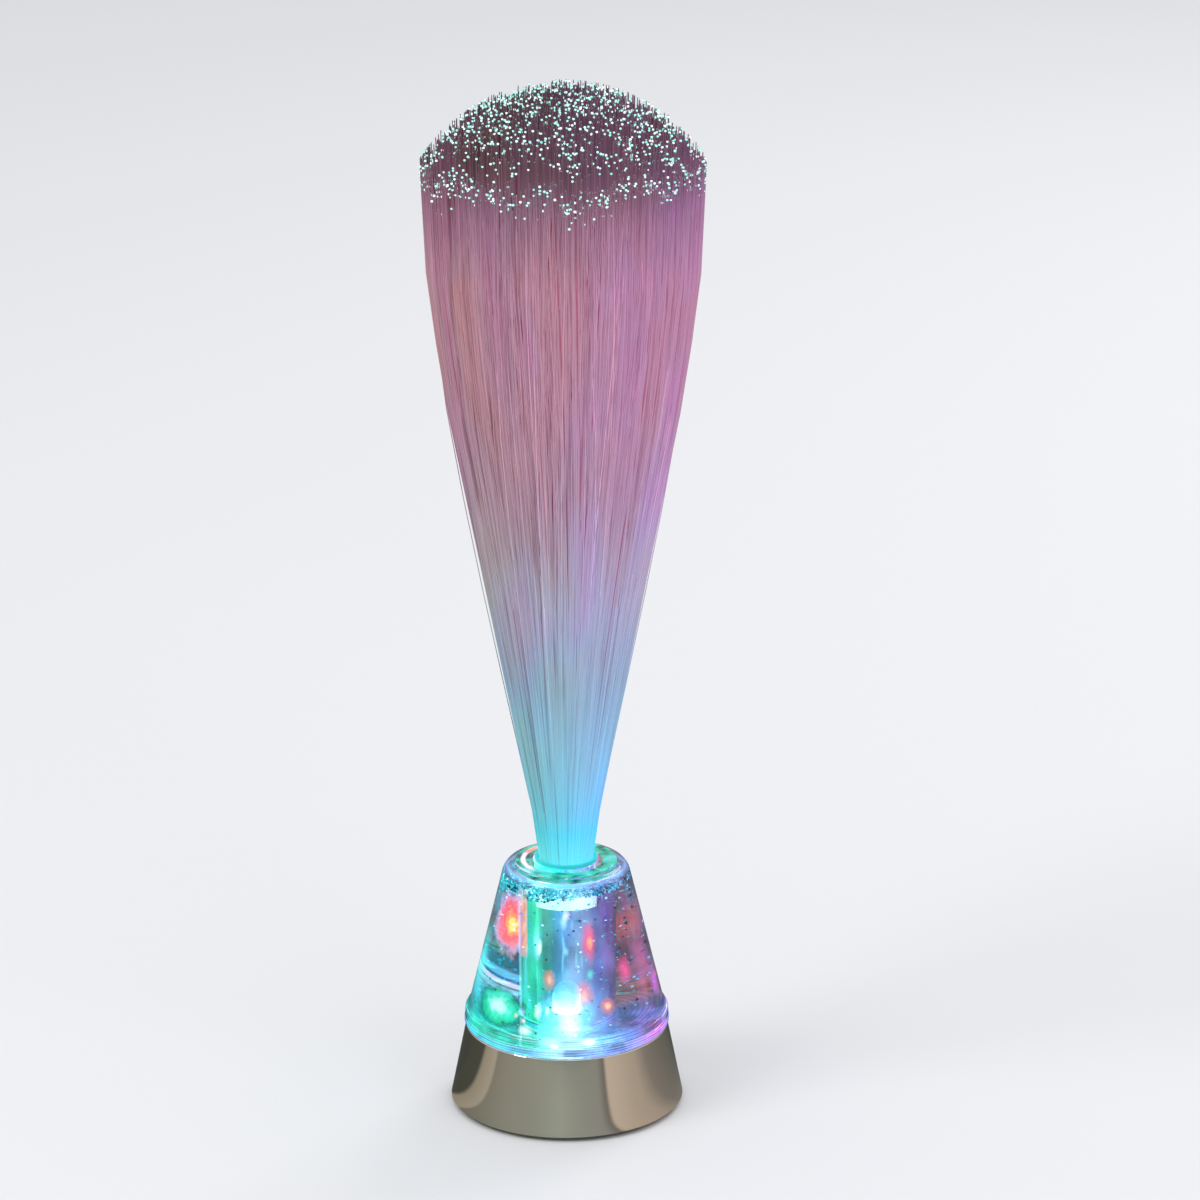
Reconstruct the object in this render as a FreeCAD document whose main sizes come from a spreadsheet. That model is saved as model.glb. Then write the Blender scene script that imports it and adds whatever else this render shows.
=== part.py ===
import FreeCAD, Part
import math
import os

import Sketcher

# A fibre optic lamp with a glitter vessel, in millimetres. +Z is up, the front faces -Y, and the origin
# is the centre of the footprint on the table. Every sub-part is bound to the sheet below.

os.makedirs("parts", exist_ok=True)
doc = FreeCAD.newDocument("fibre_optic_lamp")

# ----------------------------------------------------------------------------------------------------
# Driving sizes: alias, value in millimetres, what it is
# ----------------------------------------------------------------------------------------------------
SIZES = [
    ("base_height", 27.0, "top of the chrome base above the table"),
    ("base_rim_radius", 38.0, "outside radius of the base at its lower rim"),
    ("base_top_radius", 33.0, "outside radius of the base under the vessel"),
    ("shell_wall", 1.8, "wall of the chrome base"),
    ("shell_edge", 0.5, "bevel of the base's outer edges"),
    ("deck_thickness", 2.0, "ring at the top of the base, which carries the vessel"),
    ("deck_bore_radius", 24.6, "opening in that ring for the light"),
    ("foot_drop", 1.2, "height of the base's rim above the table"),
    ("foot_radius", 4.0, "rubber foot"),
    ("foot_recess", 0.6, "depth of the pocket that a foot is glued in"),
    ("foot_edge", 0.5, "bevel of a foot's lower edge"),
    ("foot_pad_radius", 5.0, "raised pad over each foot, inside the cover"),
    ("foot_pad_rise", 2.0, "height of that pad over the cover"),
    ("foot_wall_gap", 2.4, "gap between a foot and the base's wall"),
    ("screw_across", 23.6, "cover screws and feet, from the middle along X"),
    ("screw_radius", 1.15, "shank of every screw"),
    ("screw_head_radius", 2.1, "head of every screw"),
    ("screw_head_height", 1.1, "height of every screw head"),
    ("screw_slot", 0.5, "width of a screw's cross recess"),
    ("screw_fit", 0.05, "radial clearance of a screw in its own boss"),
    ("cover_screw_length", 8.0, "shank length of a cover screw"),
    ("shell_boss_radius", 2.6, "screw boss of the base shell"),
    ("cover_thickness", 2.0, "plate of the bottom cover"),
    ("cover_clearance", 0.2, "gap between the cover and the base shell"),
    ("cell_radius", 5.25, "battery cell"),
    ("cell_length", 44.5, "battery cell over its button"),
    ("cell_pitch", 10.9, "from one cell's axis to the next"),
    ("cell_button_radius", 1.9, "positive button of a cell"),
    ("cell_button_height", 1.0, "positive button of a cell"),
    ("cell_edge", 0.5, "bevel of a cell's can"),
    ("cell_side_gap", 0.35, "gap between an outer cell and the box"),
    ("cell_door_gap", 0.4, "gap between the cells and the door"),
    ("cell_roof_gap", 0.3, "gap between the cells and the box's roof"),
    ("contact_thickness", 0.5, "sheet of the battery contacts"),
    ("contact_width", 9.0, "contact plate for one cell"),
    ("contact_height", 6.5, "contact plate for one cell"),
    ("tab_width", 3.0, "solder tab of a terminal"),
    ("tab_rise", 1.8, "solder tab above the box's roof"),
    ("spring_length", 4.4, "contact spring with a cell in place"),
    ("spring_base_radius", 3.6, "contact spring at its plate"),
    ("spring_tip_radius", 2.2, "contact spring at the cell"),
    ("spring_wire", 0.55, "wire of a contact spring"),
    ("spring_end_gap", 0.1, "gap at each end of a contact spring"),
    ("wire_radius", 0.5, "lead over its insulation"),
    ("box_wall", 1.6, "walls of the battery box"),
    ("roof_thickness", 1.2, "roof of the battery box"),
    ("door_ledge", 0.8, "ledge that the door closes against"),
    ("door_thickness", 1.8, "battery door"),
    ("door_clearance", 0.2, "gap round the door"),
    ("ear_reach", 3.4, "door screw, outside the door opening's end"),
    ("ear_radius", 3.6, "ear of the door round its screw"),
    ("door_boss_radius", 4.8, "boss of the cover for the door screw"),
    ("door_boss_bore", 1.6, "bore of that boss, wide enough for the screw to swing out"),
    ("door_screw_length", 4.6, "shank length of the door screw"),
    ("door_screw_hole", 1.25, "hole for the shank in the door"),
    ("tongue_across", 5.45, "tongues of the door, from the middle along X"),
    ("tongue_width", 4.0, "tongue of the door"),
    ("tongue_reach", 2.0, "tongue past the door opening's edge"),
    ("tongue_thickness", 1.0, "tongue of the door"),
    ("tongue_gap", 0.1, "gap between a tongue and the cover"),
    ("tongue_web", 1.0, "web between a tongue and the door"),
    ("tongue_slot_rise", 2.2, "height of the slot for a tongue in the box"),
    ("grip_width", 1.0, "grip groove of the door"),
    ("grip_length", 14.0, "grip groove of the door"),
    ("grip_depth", 0.4, "grip groove of the door"),
    ("grip_pitch", 2.2, "from one grip groove to the next"),
    ("board_radius", 25.0, "circuit board"),
    ("board_thickness", 1.6, "circuit board"),
    ("board_gap", 1.0, "gap between the box's roof and the board"),
    ("board_post_across", 20.5, "posts of the board, from the middle along X"),
    ("board_post_radius", 2.6, "post of the board"),
    ("board_screw_length", 6.0, "shank length of a board screw"),
    ("led_radius", 2.5, "light-emitting diode"),
    ("led_flange_radius", 2.9, "flange of a diode"),
    ("led_flange_height", 1.0, "flange of a diode"),
    ("led_height", 8.5, "diode above the board"),
    ("led_circle", 14.0, "circle of the three coloured diodes"),
    ("chip_length", 5.0, "controller chip"),
    ("chip_width", 4.0, "controller chip"),
    ("chip_height", 1.5, "controller chip"),
    ("resistor_length", 3.2, "resistor"),
    ("resistor_width", 1.6, "resistor"),
    ("resistor_height", 0.7, "resistor"),
    ("resistor_across", 11.9, "row of resistors, from the middle along X"),
    ("resistor_pitch", 2.7, "from one resistor to the next"),
    ("switch_across", 27.0, "switch, from the middle along X"),
    ("switch_width", 4.4, "switch body"),
    ("switch_length", 8.6, "switch body"),
    ("switch_height", 4.0, "switch body"),
    ("switch_wall", 0.4, "sheet of the switch body"),
    ("switch_pin_rise", 1.8, "solder pins of the switch"),
    ("switch_pin_pitch", 2.5, "from one pin to the next"),
    ("switch_pin_length", 1.0, "pin along Y"),
    ("switch_pin_width", 0.6, "pin along X"),
    ("knob_width", 2.0, "knob of the switch"),
    ("knob_length", 3.0, "knob of the switch"),
    ("knob_sink", 0.1, "knob's end, below the cover's outer face"),
    ("knob_base_length", 4.6, "slider inside the switch"),
    ("knob_base_height", 1.2, "slider inside the switch"),
    ("switch_travel", 3.0, "travel of the knob"),
    ("slide_clearance", 0.1, "running gap of the slider"),
    ("recess_width", 6.0, "finger recess round the knob"),
    ("recess_length", 12.0, "finger recess round the knob"),
    ("recess_depth", 1.0, "finger recess round the knob"),
    ("flange_radius", 33.5, "flange of the vessel"),
    ("flange_height", 6.0, "both beads of the flange"),
    ("flange_groove", 0.6, "groove between the two beads"),
    ("vessel_foot_radius", 32.0, "cone of the vessel just over the flange"),
    ("vessel_top_radius", 20.4, "cone of the vessel at its shoulder"),
    ("vessel_height", 56.0, "vessel over the base"),
    ("shoulder_drop", 2.2, "from the vessel's top down to where its cone ends"),
    ("shoulder_radius", 2.4, "rounding of the shoulder"),
    ("vessel_wall", 2.0, "wall of the vessel"),
    ("floor_thickness", 2.5, "floor of the vessel"),
    ("glue_gap", 0.1, "gap of a glued joint"),
    ("spigot_depth", 2.4, "ring of the floor in the base's opening"),
    ("spigot_wall", 2.0, "wall of that ring"),
    ("spigot_clearance", 0.2, "gap between that ring and the base"),
    ("plug_radius", 3.0, "plug of the filling hole"),
    ("plug_circle", 17.5, "filling hole, from the middle"),
    ("plug_head_radius", 4.2, "head of that plug, under the floor"),
    ("plug_head_height", 1.0, "head of that plug"),
    ("tube_bore_radius", 10.3, "bore of the centre tube"),
    ("tube_wall", 1.7, "wall of the centre tube"),
    ("tube_flange_radius", 16.5, "flange of the centre tube on the vessel's top"),
    ("tube_flange_height", 1.6, "flange of the centre tube"),
    ("tube_flange_sink", 1.0, "depth of the flange's seat in the vessel's top"),
    ("air_space", 2.0, "air between the liquid and the vessel's top"),
    ("liquid_gap", 0.1, "gap between the liquid and its walls"),
    ("lens_radius", 4.9, "bullet of the focusing lens"),
    ("lens_height", 10.5, "lens above the vessel's floor"),
    ("lens_flange_radius", 9.8, "flange of the lens"),
    ("lens_flange_height", 1.4, "flange of the lens"),
    ("lens_hole_gap", 0.3, "gap round the lens in the floor"),
    ("ferrule_wall", 0.8, "sleeve round the fibres"),
    ("ferrule_depth", 13.0, "sleeve below the vessel's top"),
    ("ferrule_rise", 1.2, "sleeve above the centre tube's flange"),
    ("bundle_gap", 0.2, "gap between the fibres and their sleeve"),
    ("spray_height", 340.0, "highest fibre tip above the table"),
    ("spray_flare_height", 16.2, "start of the spray's straight cone over the fibres' sleeve"),
    ("spray_flare_radius", 11.4, "radius of the spray there"),
    ("spray_shoulder_height", 95.0, "highest tip over the end of the spray's straight cone"),
    ("spray_shoulder_radius", 39.0, "radius of the spray there"),
    ("spray_rim_height", 26.0, "highest tip over the tips at the spray's rim"),
    ("spray_rim_radius", 45.0, "radius of the spray at its rim"),
]

class Size:
    """A length in millimetres, together with the sheet expression that gives it."""

    def __init__(self, text, value):
        self.text = text
        self.value = value

    def joined(self, sign, other, value):
        return Size(f"({self.text} {sign} {as_size(other).text})", value)

    def __add__(self, other):
        return self.joined("+", other, self.value + as_size(other).value)

    def __sub__(self, other):
        return self.joined("-", other, self.value - as_size(other).value)

    def __mul__(self, other):
        return self.joined("*", other, self.value * as_size(other).value)

    def __truediv__(self, other):
        return self.joined("/", other, self.value / as_size(other).value)

    def __neg__(self):
        return as_size(0) - self


def as_size(amount):
    return amount if isinstance(amount, Size) else Size(repr(float(amount)), float(amount))


def other_side(longest, side):
    """The third side of a right-angled triangle, from its longest side and another."""
    return Size(f"sqrt({longest.text}^2 - {side.text}^2)", math.sqrt(longest.value**2 - side.value**2))


sheet = doc.addObject("Spreadsheet::Sheet", "Sizes")
for number, (alias, value, note) in enumerate(SIZES, start=1):
    sheet.set(f"A{number}", alias)
    sheet.set(f"B{number}", str(value))
    sheet.setAlias(f"B{number}", alias)
    sheet.set(f"C{number}", note)
doc.recompute()


class Sheet:
    """Reads the sheet: S.base_height is the size in the cell with that alias."""

    def __getattr__(self, alias):
        return Size(f"Sizes.{alias}", float(sheet.get(alias)))


S = Sheet()
ZERO = as_size(0)


# ----------------------------------------------------------------------------------------------------
# Ways of making a sub-part
# ----------------------------------------------------------------------------------------------------
NODES = []


def node(item, label):
    """Names a finished sub-part; its label is also its file's name."""
    item.Label = label
    NODES.append(item)
    return item


def bind(item, **sizes):
    """Ties properties to the sheet; two underscores in a name stand for a dot."""
    for name, amount in sizes.items():
        item.setExpression(name.replace("__", "."), as_size(amount).text)


def place(item, across=ZERO, along=ZERO, up=ZERO):
    bind(item, Placement__Base__x=across, Placement__Base__y=along, Placement__Base__z=up)


def new_body(name):
    return doc.addObject("PartDesign::Body", name + "_body")


def origin_item(body, role):
    return [item for item in body.Origin.OriginFeatures if item.Role == role][0]


def new_sketch(body, name, plane, offset=ZERO):
    sketch = body.newObject("Sketcher::SketchObject", name)
    sketch.AttachmentSupport = [(origin_item(body, plane), "")]
    sketch.MapMode = "FlatFace"
    bind(sketch, AttachmentOffset__Base__z=offset)
    return sketch


def hold(sketch, geometry, point, across, along):
    """Fixes a point of a sketch at sizes from the sketch's origin."""
    for kind, amount in (("DistanceX", across), ("DistanceY", along)):
        amount = as_size(amount)
        index = sketch.addConstraint(Sketcher.Constraint(kind, -1, 1, geometry, point, amount.value))
        sketch.setExpression(f"Constraints[{index}]", amount.text)


def outline(body, name, plane, corners, offset=ZERO):
    """A closed outline of straight lines through corners given as (across, along) sizes."""
    sketch = new_sketch(body, name, plane, offset)
    points = [FreeCAD.Vector(as_size(a).value, as_size(b).value, 0) for a, b in corners]
    count = len(points)
    for i in range(count):
        sketch.addGeometry(Part.LineSegment(points[i], points[(i + 1) % count]))
    for i in range(count):
        sketch.addConstraint(Sketcher.Constraint("Coincident", i, 2, (i + 1) % count, 1))
    for i, (across, along) in enumerate(corners):
        hold(sketch, i, 1, across, along)
    return sketch


def rectangle(body, name, half_across, half_along, offset=ZERO, across=ZERO, along=ZERO):
    low_a, high_a = across - half_across, across + half_across
    low_b, high_b = along - half_along, along + half_along
    corners = [(low_a, low_b), (high_a, low_b), (high_a, high_b), (low_a, high_b)]
    return outline(body, name, "XY_Plane", corners, offset)


def circles(body, name, centres, radius, offset=ZERO):
    """Equal circles on a level plane, at (across, along) centres."""
    sketch = new_sketch(body, name, "XY_Plane", offset)
    for i, (across, along) in enumerate(centres):
        centre = FreeCAD.Vector(as_size(across).value, as_size(along).value, 0)
        sketch.addGeometry(Part.Circle(centre, FreeCAD.Vector(0, 0, 1), as_size(radius).value))
        hold(sketch, i, 3, across, along)
        index = sketch.addConstraint(Sketcher.Constraint("Radius", i, as_size(radius).value))
        sketch.setExpression(f"Constraints[{index}]", as_size(radius).text)
    return sketch


def revolve(body, name, corners):
    """A turned form: corners are (radius, height) pairs."""
    sketch = outline(body, name + "_outline", "XZ_Plane", corners)
    turned = body.newObject("PartDesign::Revolution", name)
    turned.Profile = sketch
    turned.ReferenceAxis = (sketch, ["V_Axis"])
    turned.Angle = 360
    doc.recompute()
    return turned


def pad(body, name, sketch, length, down=False):
    feature = body.newObject("PartDesign::Pad", name)
    feature.Profile = sketch
    feature.Reversed = down
    bind(feature, Length=length)
    doc.recompute()
    return feature


def pocket(body, name, sketch, depth, up=True):
    """Cuts from the sketch's level, upwards or downwards, and makes sure that something was cut."""
    before = body.Shape.Volume
    feature = body.newObject("PartDesign::Pocket", name)
    feature.Profile = sketch
    feature.Reversed = up
    bind(feature, Length=depth)
    doc.recompute()
    if body.Shape.Volume >= before:
        raise RuntimeError(name + " cuts nothing")
    return feature


def round_edges(body, name, radius, chosen):
    """Rounds the circular edges of a turned form at the given (radius, height) places."""
    base = body.Tip
    names = []
    for number, edge in enumerate(base.Shape.Edges, start=1):
        if not isinstance(edge.Curve, Part.Circle):
            continue
        for ring_radius, height in chosen:
            same_ring = abs(edge.Curve.Radius - as_size(ring_radius).value) < 0.01
            if same_ring and abs(edge.Curve.Center.z - as_size(height).value) < 0.01:
                names.append(f"Edge{number}")
    feature = body.newObject("PartDesign::Fillet", name)
    feature.Base = (base, names)
    bind(feature, Radius=radius)
    doc.recompute()
    return feature


def block(name, width, length, height, across=ZERO, along=ZERO, up=ZERO):
    """A block centred on (across, along), standing on the level up."""
    item = doc.addObject("Part::Box", name)
    bind(item, Length=width, Width=length, Height=height)
    place(item, as_size(across) - width / 2, as_size(along) - length / 2, up)
    return item


def fused(name, items):
    item = doc.addObject("Part::MultiFuse", name)
    item.Shapes = items
    item.Refine = True
    return item


def cut(name, base, tool):
    item = doc.addObject("Part::Cut", name)
    item.Base = base
    item.Tool = tool
    return item


def group(name, items):
    """Equal separate solids that share one node."""
    item = doc.addObject("Part::Compound", name)
    item.Links = items
    return item


def four_ways(across, along):
    return [(across * i, along * j) for i in (-1, 1) for j in (-1, 1)]


# ----------------------------------------------------------------------------------------------------
# Levels and places that several sub-parts share
# ----------------------------------------------------------------------------------------------------
RIM = S.foot_drop
COVER_TOP = RIM + S.cover_thickness
DECK_UNDER = S.base_height - S.deck_thickness
DOOR_TOP = RIM + S.door_thickness
CELL_AXIS = DOOR_TOP + S.cell_door_gap + S.cell_radius
ROOF_UNDER = CELL_AXIS + S.cell_radius + S.cell_roof_gap
ROOF_TOP = ROOF_UNDER + S.roof_thickness
BOARD_UNDER = ROOF_TOP + S.board_gap
BOARD_TOP = BOARD_UNDER + S.board_thickness
PAD_TOP = COVER_TOP + S.foot_pad_rise
FOOT_TOP = RIM + S.foot_recess

BOX_HALF_WIDTH = S.cell_pitch + S.cell_radius + S.cell_side_gap
BOX_HALF_LENGTH = (S.cell_length + S.spring_length + S.contact_thickness * 2) / 2
OPENING_HALF_WIDTH = BOX_HALF_WIDTH + S.door_ledge
OPENING_HALF_LENGTH = BOX_HALF_LENGTH + S.door_ledge
EAR_ALONG = OPENING_HALF_LENGTH + S.ear_reach
DOOR_SCREW_SEAT = RIM + S.screw_head_height
KNOB_REST = S.switch_travel / 2

FLOOR_TOP = S.base_height + S.floor_thickness
VESSEL_TOP = S.base_height + S.vessel_height
TOP_UNDER = VESSEL_TOP - S.vessel_wall
SHOULDER = VESSEL_TOP - S.shoulder_drop
FLANGE_TOP = S.base_height + S.flange_height
TUBE_RADIUS = S.tube_bore_radius + S.tube_wall
LIQUID_TOP = TOP_UNDER - S.air_space
TUBE_FLANGE_UNDER = VESSEL_TOP - S.tube_flange_sink
TUBE_FLANGE_TOP = TUBE_FLANGE_UNDER + S.tube_flange_height
FERRULE_RADIUS = S.tube_bore_radius - S.glue_gap
FERRULE_BORE = FERRULE_RADIUS - S.ferrule_wall
FERRULE_UNDER = VESSEL_TOP - S.ferrule_depth
FERRULE_TOP = TUBE_FLANGE_TOP + S.ferrule_rise
BUNDLE_RADIUS = FERRULE_BORE - S.bundle_gap

FOOT_CIRCLE = S.base_rim_radius - S.shell_wall - S.foot_wall_gap - S.foot_radius
CORNERS = four_ways(S.screw_across, other_side(FOOT_CIRCLE, S.screw_across))
CONE_SLOPE = (S.vessel_foot_radius - S.vessel_top_radius) / (SHOULDER - FLANGE_TOP)


# ----------------------------------------------------------------------------------------------------
# Base shell: a moulded and mirror-plated cone with a ring deck for the vessel and four screw bosses
# ----------------------------------------------------------------------------------------------------
body = new_body("base_shell")
revolve(
    body,
    "shell_cone",
    [
        (S.base_rim_radius - S.shell_edge, RIM),
        (S.base_rim_radius, RIM + S.shell_edge),
        (S.base_top_radius, S.base_height - S.shell_edge),
        (S.base_top_radius - S.shell_edge, S.base_height),
        (S.deck_bore_radius, S.base_height),
        (S.deck_bore_radius, DECK_UNDER),
        (S.base_top_radius - S.shell_wall, DECK_UNDER),
        (S.base_rim_radius - S.shell_wall, RIM),
    ],
)
bosses = circles(body, "boss_circles", CORNERS, S.shell_boss_radius, PAD_TOP)
pad(body, "bosses", bosses, DECK_UNDER - PAD_TOP)
bores = circles(body, "boss_bore_circles", CORNERS, S.screw_radius + S.screw_fit, PAD_TOP)
pocket(body, "boss_bores", bores, S.cover_screw_length)
node(body, "base_shell")


# ----------------------------------------------------------------------------------------------------
# Bottom cover: a moulded plate with the battery box, the board's posts, the feet's pads and the switch's slot
# ----------------------------------------------------------------------------------------------------
body = new_body("bottom_cover")
SHELL_SLOPE = (S.base_rim_radius - S.base_top_radius) / (DECK_UNDER - RIM)
COVER_RADIUS = S.base_rim_radius - S.shell_wall - SHELL_SLOPE * S.cover_thickness - S.cover_clearance
POSTS = [(S.board_post_across, ZERO), (-S.board_post_across, ZERO)]
pad(body, "cover_plate", circles(body, "plate_circle", [(ZERO, ZERO)], COVER_RADIUS, RIM), S.cover_thickness)
box_walls = rectangle(
    body, "box_outside", BOX_HALF_WIDTH + S.box_wall, BOX_HALF_LENGTH + S.box_wall, COVER_TOP
)
pad(body, "box", box_walls, ROOF_TOP - COVER_TOP)
pad(body, "board_posts", circles(body, "post_circles", POSTS, S.board_post_radius, COVER_TOP),
    BOARD_UNDER - COVER_TOP)
pad(body, "foot_pads", circles(body, "pad_circles", CORNERS, S.foot_pad_radius, COVER_TOP), S.foot_pad_rise)
DOOR_BOSS_HEIGHT = DOOR_SCREW_SEAT + S.door_screw_length + S.screw_head_height - COVER_TOP
pad(body, "door_boss",
    circles(body, "door_boss_circle", [(ZERO, EAR_ALONG)], S.door_boss_radius, COVER_TOP), DOOR_BOSS_HEIGHT)
# the battery box opens downwards, and the door closes against a ledge
pocket(body, "box_inside", rectangle(body, "box_inside_edge", BOX_HALF_WIDTH, BOX_HALF_LENGTH, RIM),
       ROOF_UNDER - RIM)
pocket(body, "door_opening",
       rectangle(body, "opening_edge", OPENING_HALF_WIDTH, OPENING_HALF_LENGTH, RIM), S.cover_thickness)
ear_way = rectangle(body, "ear_way_edge", S.ear_radius + S.door_clearance, S.ear_reach / 2, RIM,
                    along=OPENING_HALF_LENGTH + S.ear_reach / 2)
pocket(body, "ear_way", ear_way, S.cover_thickness)
pocket(body, "ear_opening",
       circles(body, "ear_circle", [(ZERO, EAR_ALONG)], S.ear_radius + S.door_clearance, RIM),
       S.cover_thickness)
pocket(body, "door_boss_bore",
       circles(body, "door_bore_circle", [(ZERO, EAR_ALONG)], S.door_boss_bore, COVER_TOP),
       DOOR_SCREW_SEAT + S.door_screw_length + S.door_clearance - COVER_TOP)
TONGUES = [S.tongue_across, -S.tongue_across]
for side, across in zip(("right", "left"), TONGUES):
    slot = rectangle(body, f"tongue_slot_{side}_edge", S.tongue_width / 2 + S.door_clearance, S.box_wall,
                     COVER_TOP, across, -BOX_HALF_LENGTH - S.box_wall)
    pocket(body, f"tongue_slot_{side}", slot, S.tongue_slot_rise)
# each foot's pocket, the seat of the screw head over it, and the shank's hole
pocket(body, "foot_pockets",
       circles(body, "foot_pocket_circles", CORNERS, S.foot_radius + S.glue_gap, RIM), S.foot_recess)
pocket(body, "head_seats",
       circles(body, "head_seat_circles", CORNERS, S.screw_head_radius + S.door_clearance, FOOT_TOP),
       S.screw_head_height)
pocket(body, "shank_holes",
       circles(body, "shank_circles", CORNERS, S.screw_radius + S.door_clearance, FOOT_TOP),
       PAD_TOP - FOOT_TOP)
pocket(body, "post_bores",
       circles(body, "post_bore_circles", POSTS, S.screw_radius + S.screw_fit, BOARD_UNDER),
       S.board_screw_length - S.board_thickness + S.door_clearance, up=False)
# finger recess and slot of the switch
pocket(body, "switch_recess",
       rectangle(body, "recess_edge", S.recess_width / 2, S.recess_length / 2, RIM, S.switch_across),
       S.recess_depth)
pocket(body, "switch_slot",
       rectangle(body, "slot_edge", S.knob_width / 2 + S.slide_clearance,
                 (S.knob_length + S.switch_travel) / 2 + S.slide_clearance, RIM, S.switch_across),
       S.cover_thickness)
# slots in the roof for the two solder tabs
TAB_ALONG = BOX_HALF_LENGTH - S.contact_thickness / 2
for side, way in (("rear", 1), ("front", -1)):
    tab_slot = rectangle(body, f"tab_slot_{side}_edge", S.tab_width / 2 + S.slide_clearance,
                         S.contact_thickness / 2, ROOF_UNDER, S.cell_pitch * way, TAB_ALONG * way)
    pocket(body, f"tab_slot_{side}", tab_slot, S.roof_thickness)
node(body, "bottom_cover")


# ----------------------------------------------------------------------------------------------------
# Screws: pan heads with a cross recess. A screw points up from its seat, or down when turned over
# ----------------------------------------------------------------------------------------------------
HEAD_FLAT_SHARE = 0.8  # of the head's radius, flat on top
HEAD_EDGE_SHARE = 0.6  # of the head's height, both its upright edge and its recess


def screw(name, length, across, along, seat, head_up=False):
    """A screw whose head sits on the level seat; its head is below it, or above it with head_up."""
    item = new_body(name)
    head = -S.screw_head_height
    revolve(
        item,
        name + "_form",
        [
            (ZERO, head),
            (S.screw_head_radius * HEAD_FLAT_SHARE, head),
            (S.screw_head_radius, head * HEAD_EDGE_SHARE),
            (S.screw_head_radius, ZERO),
            (S.screw_radius, ZERO),
            (S.screw_radius, length - S.screw_radius),
            (ZERO, length),
        ],
    )
    for letter, half_width, half_length in (
        ("a", S.screw_slot / 2, S.screw_radius),
        ("b", S.screw_radius, S.screw_slot / 2),
    ):
        recess = rectangle(item, f"{name}_recess_{letter}_edge", half_width, half_length, head)
        pocket(item, f"{name}_recess_{letter}", recess, S.screw_head_height * HEAD_EDGE_SHARE)
    if head_up:
        item.Placement.Rotation = FreeCAD.Rotation(FreeCAD.Vector(1, 0, 0), 180)
    place(item, across, along, seat)
    return item


COVER_SCREW_SEAT = FOOT_TOP + S.screw_head_height
cover_screws = [
    screw(f"cover_screw_{n}", S.cover_screw_length, across, along, COVER_SCREW_SEAT)
    for n, (across, along) in enumerate(CORNERS, start=1)
]
node(group("cover_screw_set", cover_screws), "cover_screws")
board_screws = [
    screw(f"board_screw_{n}", S.board_screw_length, across, along, BOARD_TOP, head_up=True)
    for n, (across, along) in enumerate(POSTS, start=1)
]
node(group("board_screw_set", board_screws), "board_screws")
node(screw("door_screw_piece", S.door_screw_length, ZERO, EAR_ALONG, DOOR_SCREW_SEAT), "door_screw")


# ----------------------------------------------------------------------------------------------------
# Rubber feet, glued in the cover's pockets over the screw heads
# ----------------------------------------------------------------------------------------------------
feet = []
for n, (across, along) in enumerate(CORNERS, start=1):
    foot = new_body(f"foot_{n}")
    revolve(
        foot,
        f"foot_{n}_form",
        [
            (ZERO, ZERO),
            (S.foot_radius - S.foot_edge, ZERO),
            (S.foot_radius, S.foot_edge),
            (S.foot_radius, FOOT_TOP),
            (ZERO, FOOT_TOP),
        ],
    )
    place(foot, across, along)
    feet.append(foot)
node(group("foot_set", feet), "rubber_feet")


# ----------------------------------------------------------------------------------------------------
# Battery door: a plate with an ear for its screw, two tongues that hook over the cover, and grip grooves
# ----------------------------------------------------------------------------------------------------
body = new_body("battery_door")
pad(body, "door_plate",
    rectangle(body, "door_edge", OPENING_HALF_WIDTH - S.door_clearance,
              OPENING_HALF_LENGTH - S.door_clearance, RIM), S.door_thickness)
neck = rectangle(body, "ear_neck_edge", S.ear_radius, S.ear_reach / 2 + S.door_clearance, RIM,
                 along=EAR_ALONG - S.ear_reach / 2 - S.door_clearance)
pad(body, "ear_neck", neck, S.door_thickness)
pad(body, "ear", circles(body, "ear_edge", [(ZERO, EAR_ALONG)], S.ear_radius, RIM), S.door_thickness)
pocket(body, "ear_hole",
       circles(body, "ear_hole_circle", [(ZERO, EAR_ALONG)], S.door_screw_hole, RIM), S.door_thickness)
pocket(body, "ear_seat",
       circles(body, "ear_seat_circle", [(ZERO, EAR_ALONG)], S.screw_head_radius + S.door_clearance, RIM),
       S.screw_head_height)
TONGUE_UNDER = COVER_TOP + S.tongue_gap
DOOR_END = -OPENING_HALF_LENGTH + S.door_clearance
for side, across in zip(("right", "left"), TONGUES):
    web = rectangle(body, f"web_{side}_edge", S.tongue_width / 2, S.tongue_web / 2, DOOR_TOP, across,
                    DOOR_END + S.tongue_web / 2)
    pad(body, f"web_{side}", web, TONGUE_UNDER + S.tongue_thickness - DOOR_TOP)
    tongue_tip = -OPENING_HALF_LENGTH - S.tongue_reach
    half_reach = (DOOR_END + S.tongue_web - tongue_tip) / 2
    tongue = rectangle(body, f"tongue_{side}_edge", S.tongue_width / 2, half_reach, TONGUE_UNDER, across,
                       tongue_tip + half_reach)
    pad(body, f"tongue_{side}", tongue, S.tongue_thickness)
GRIP_COUNT = 5
for n in range(GRIP_COUNT):
    groove = rectangle(body, f"grip_{n}_edge", S.grip_length / 2, S.grip_width / 2, RIM,
                       along=OPENING_HALF_LENGTH - S.grip_pitch * (n + 2))
    pocket(body, f"grip_{n}", groove, S.grip_depth)
node(body, "battery_door")


# ----------------------------------------------------------------------------------------------------
# Three battery cells side by side, every other one turned round
# ----------------------------------------------------------------------------------------------------
CELL_BODY = S.cell_length - S.cell_button_height
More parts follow.
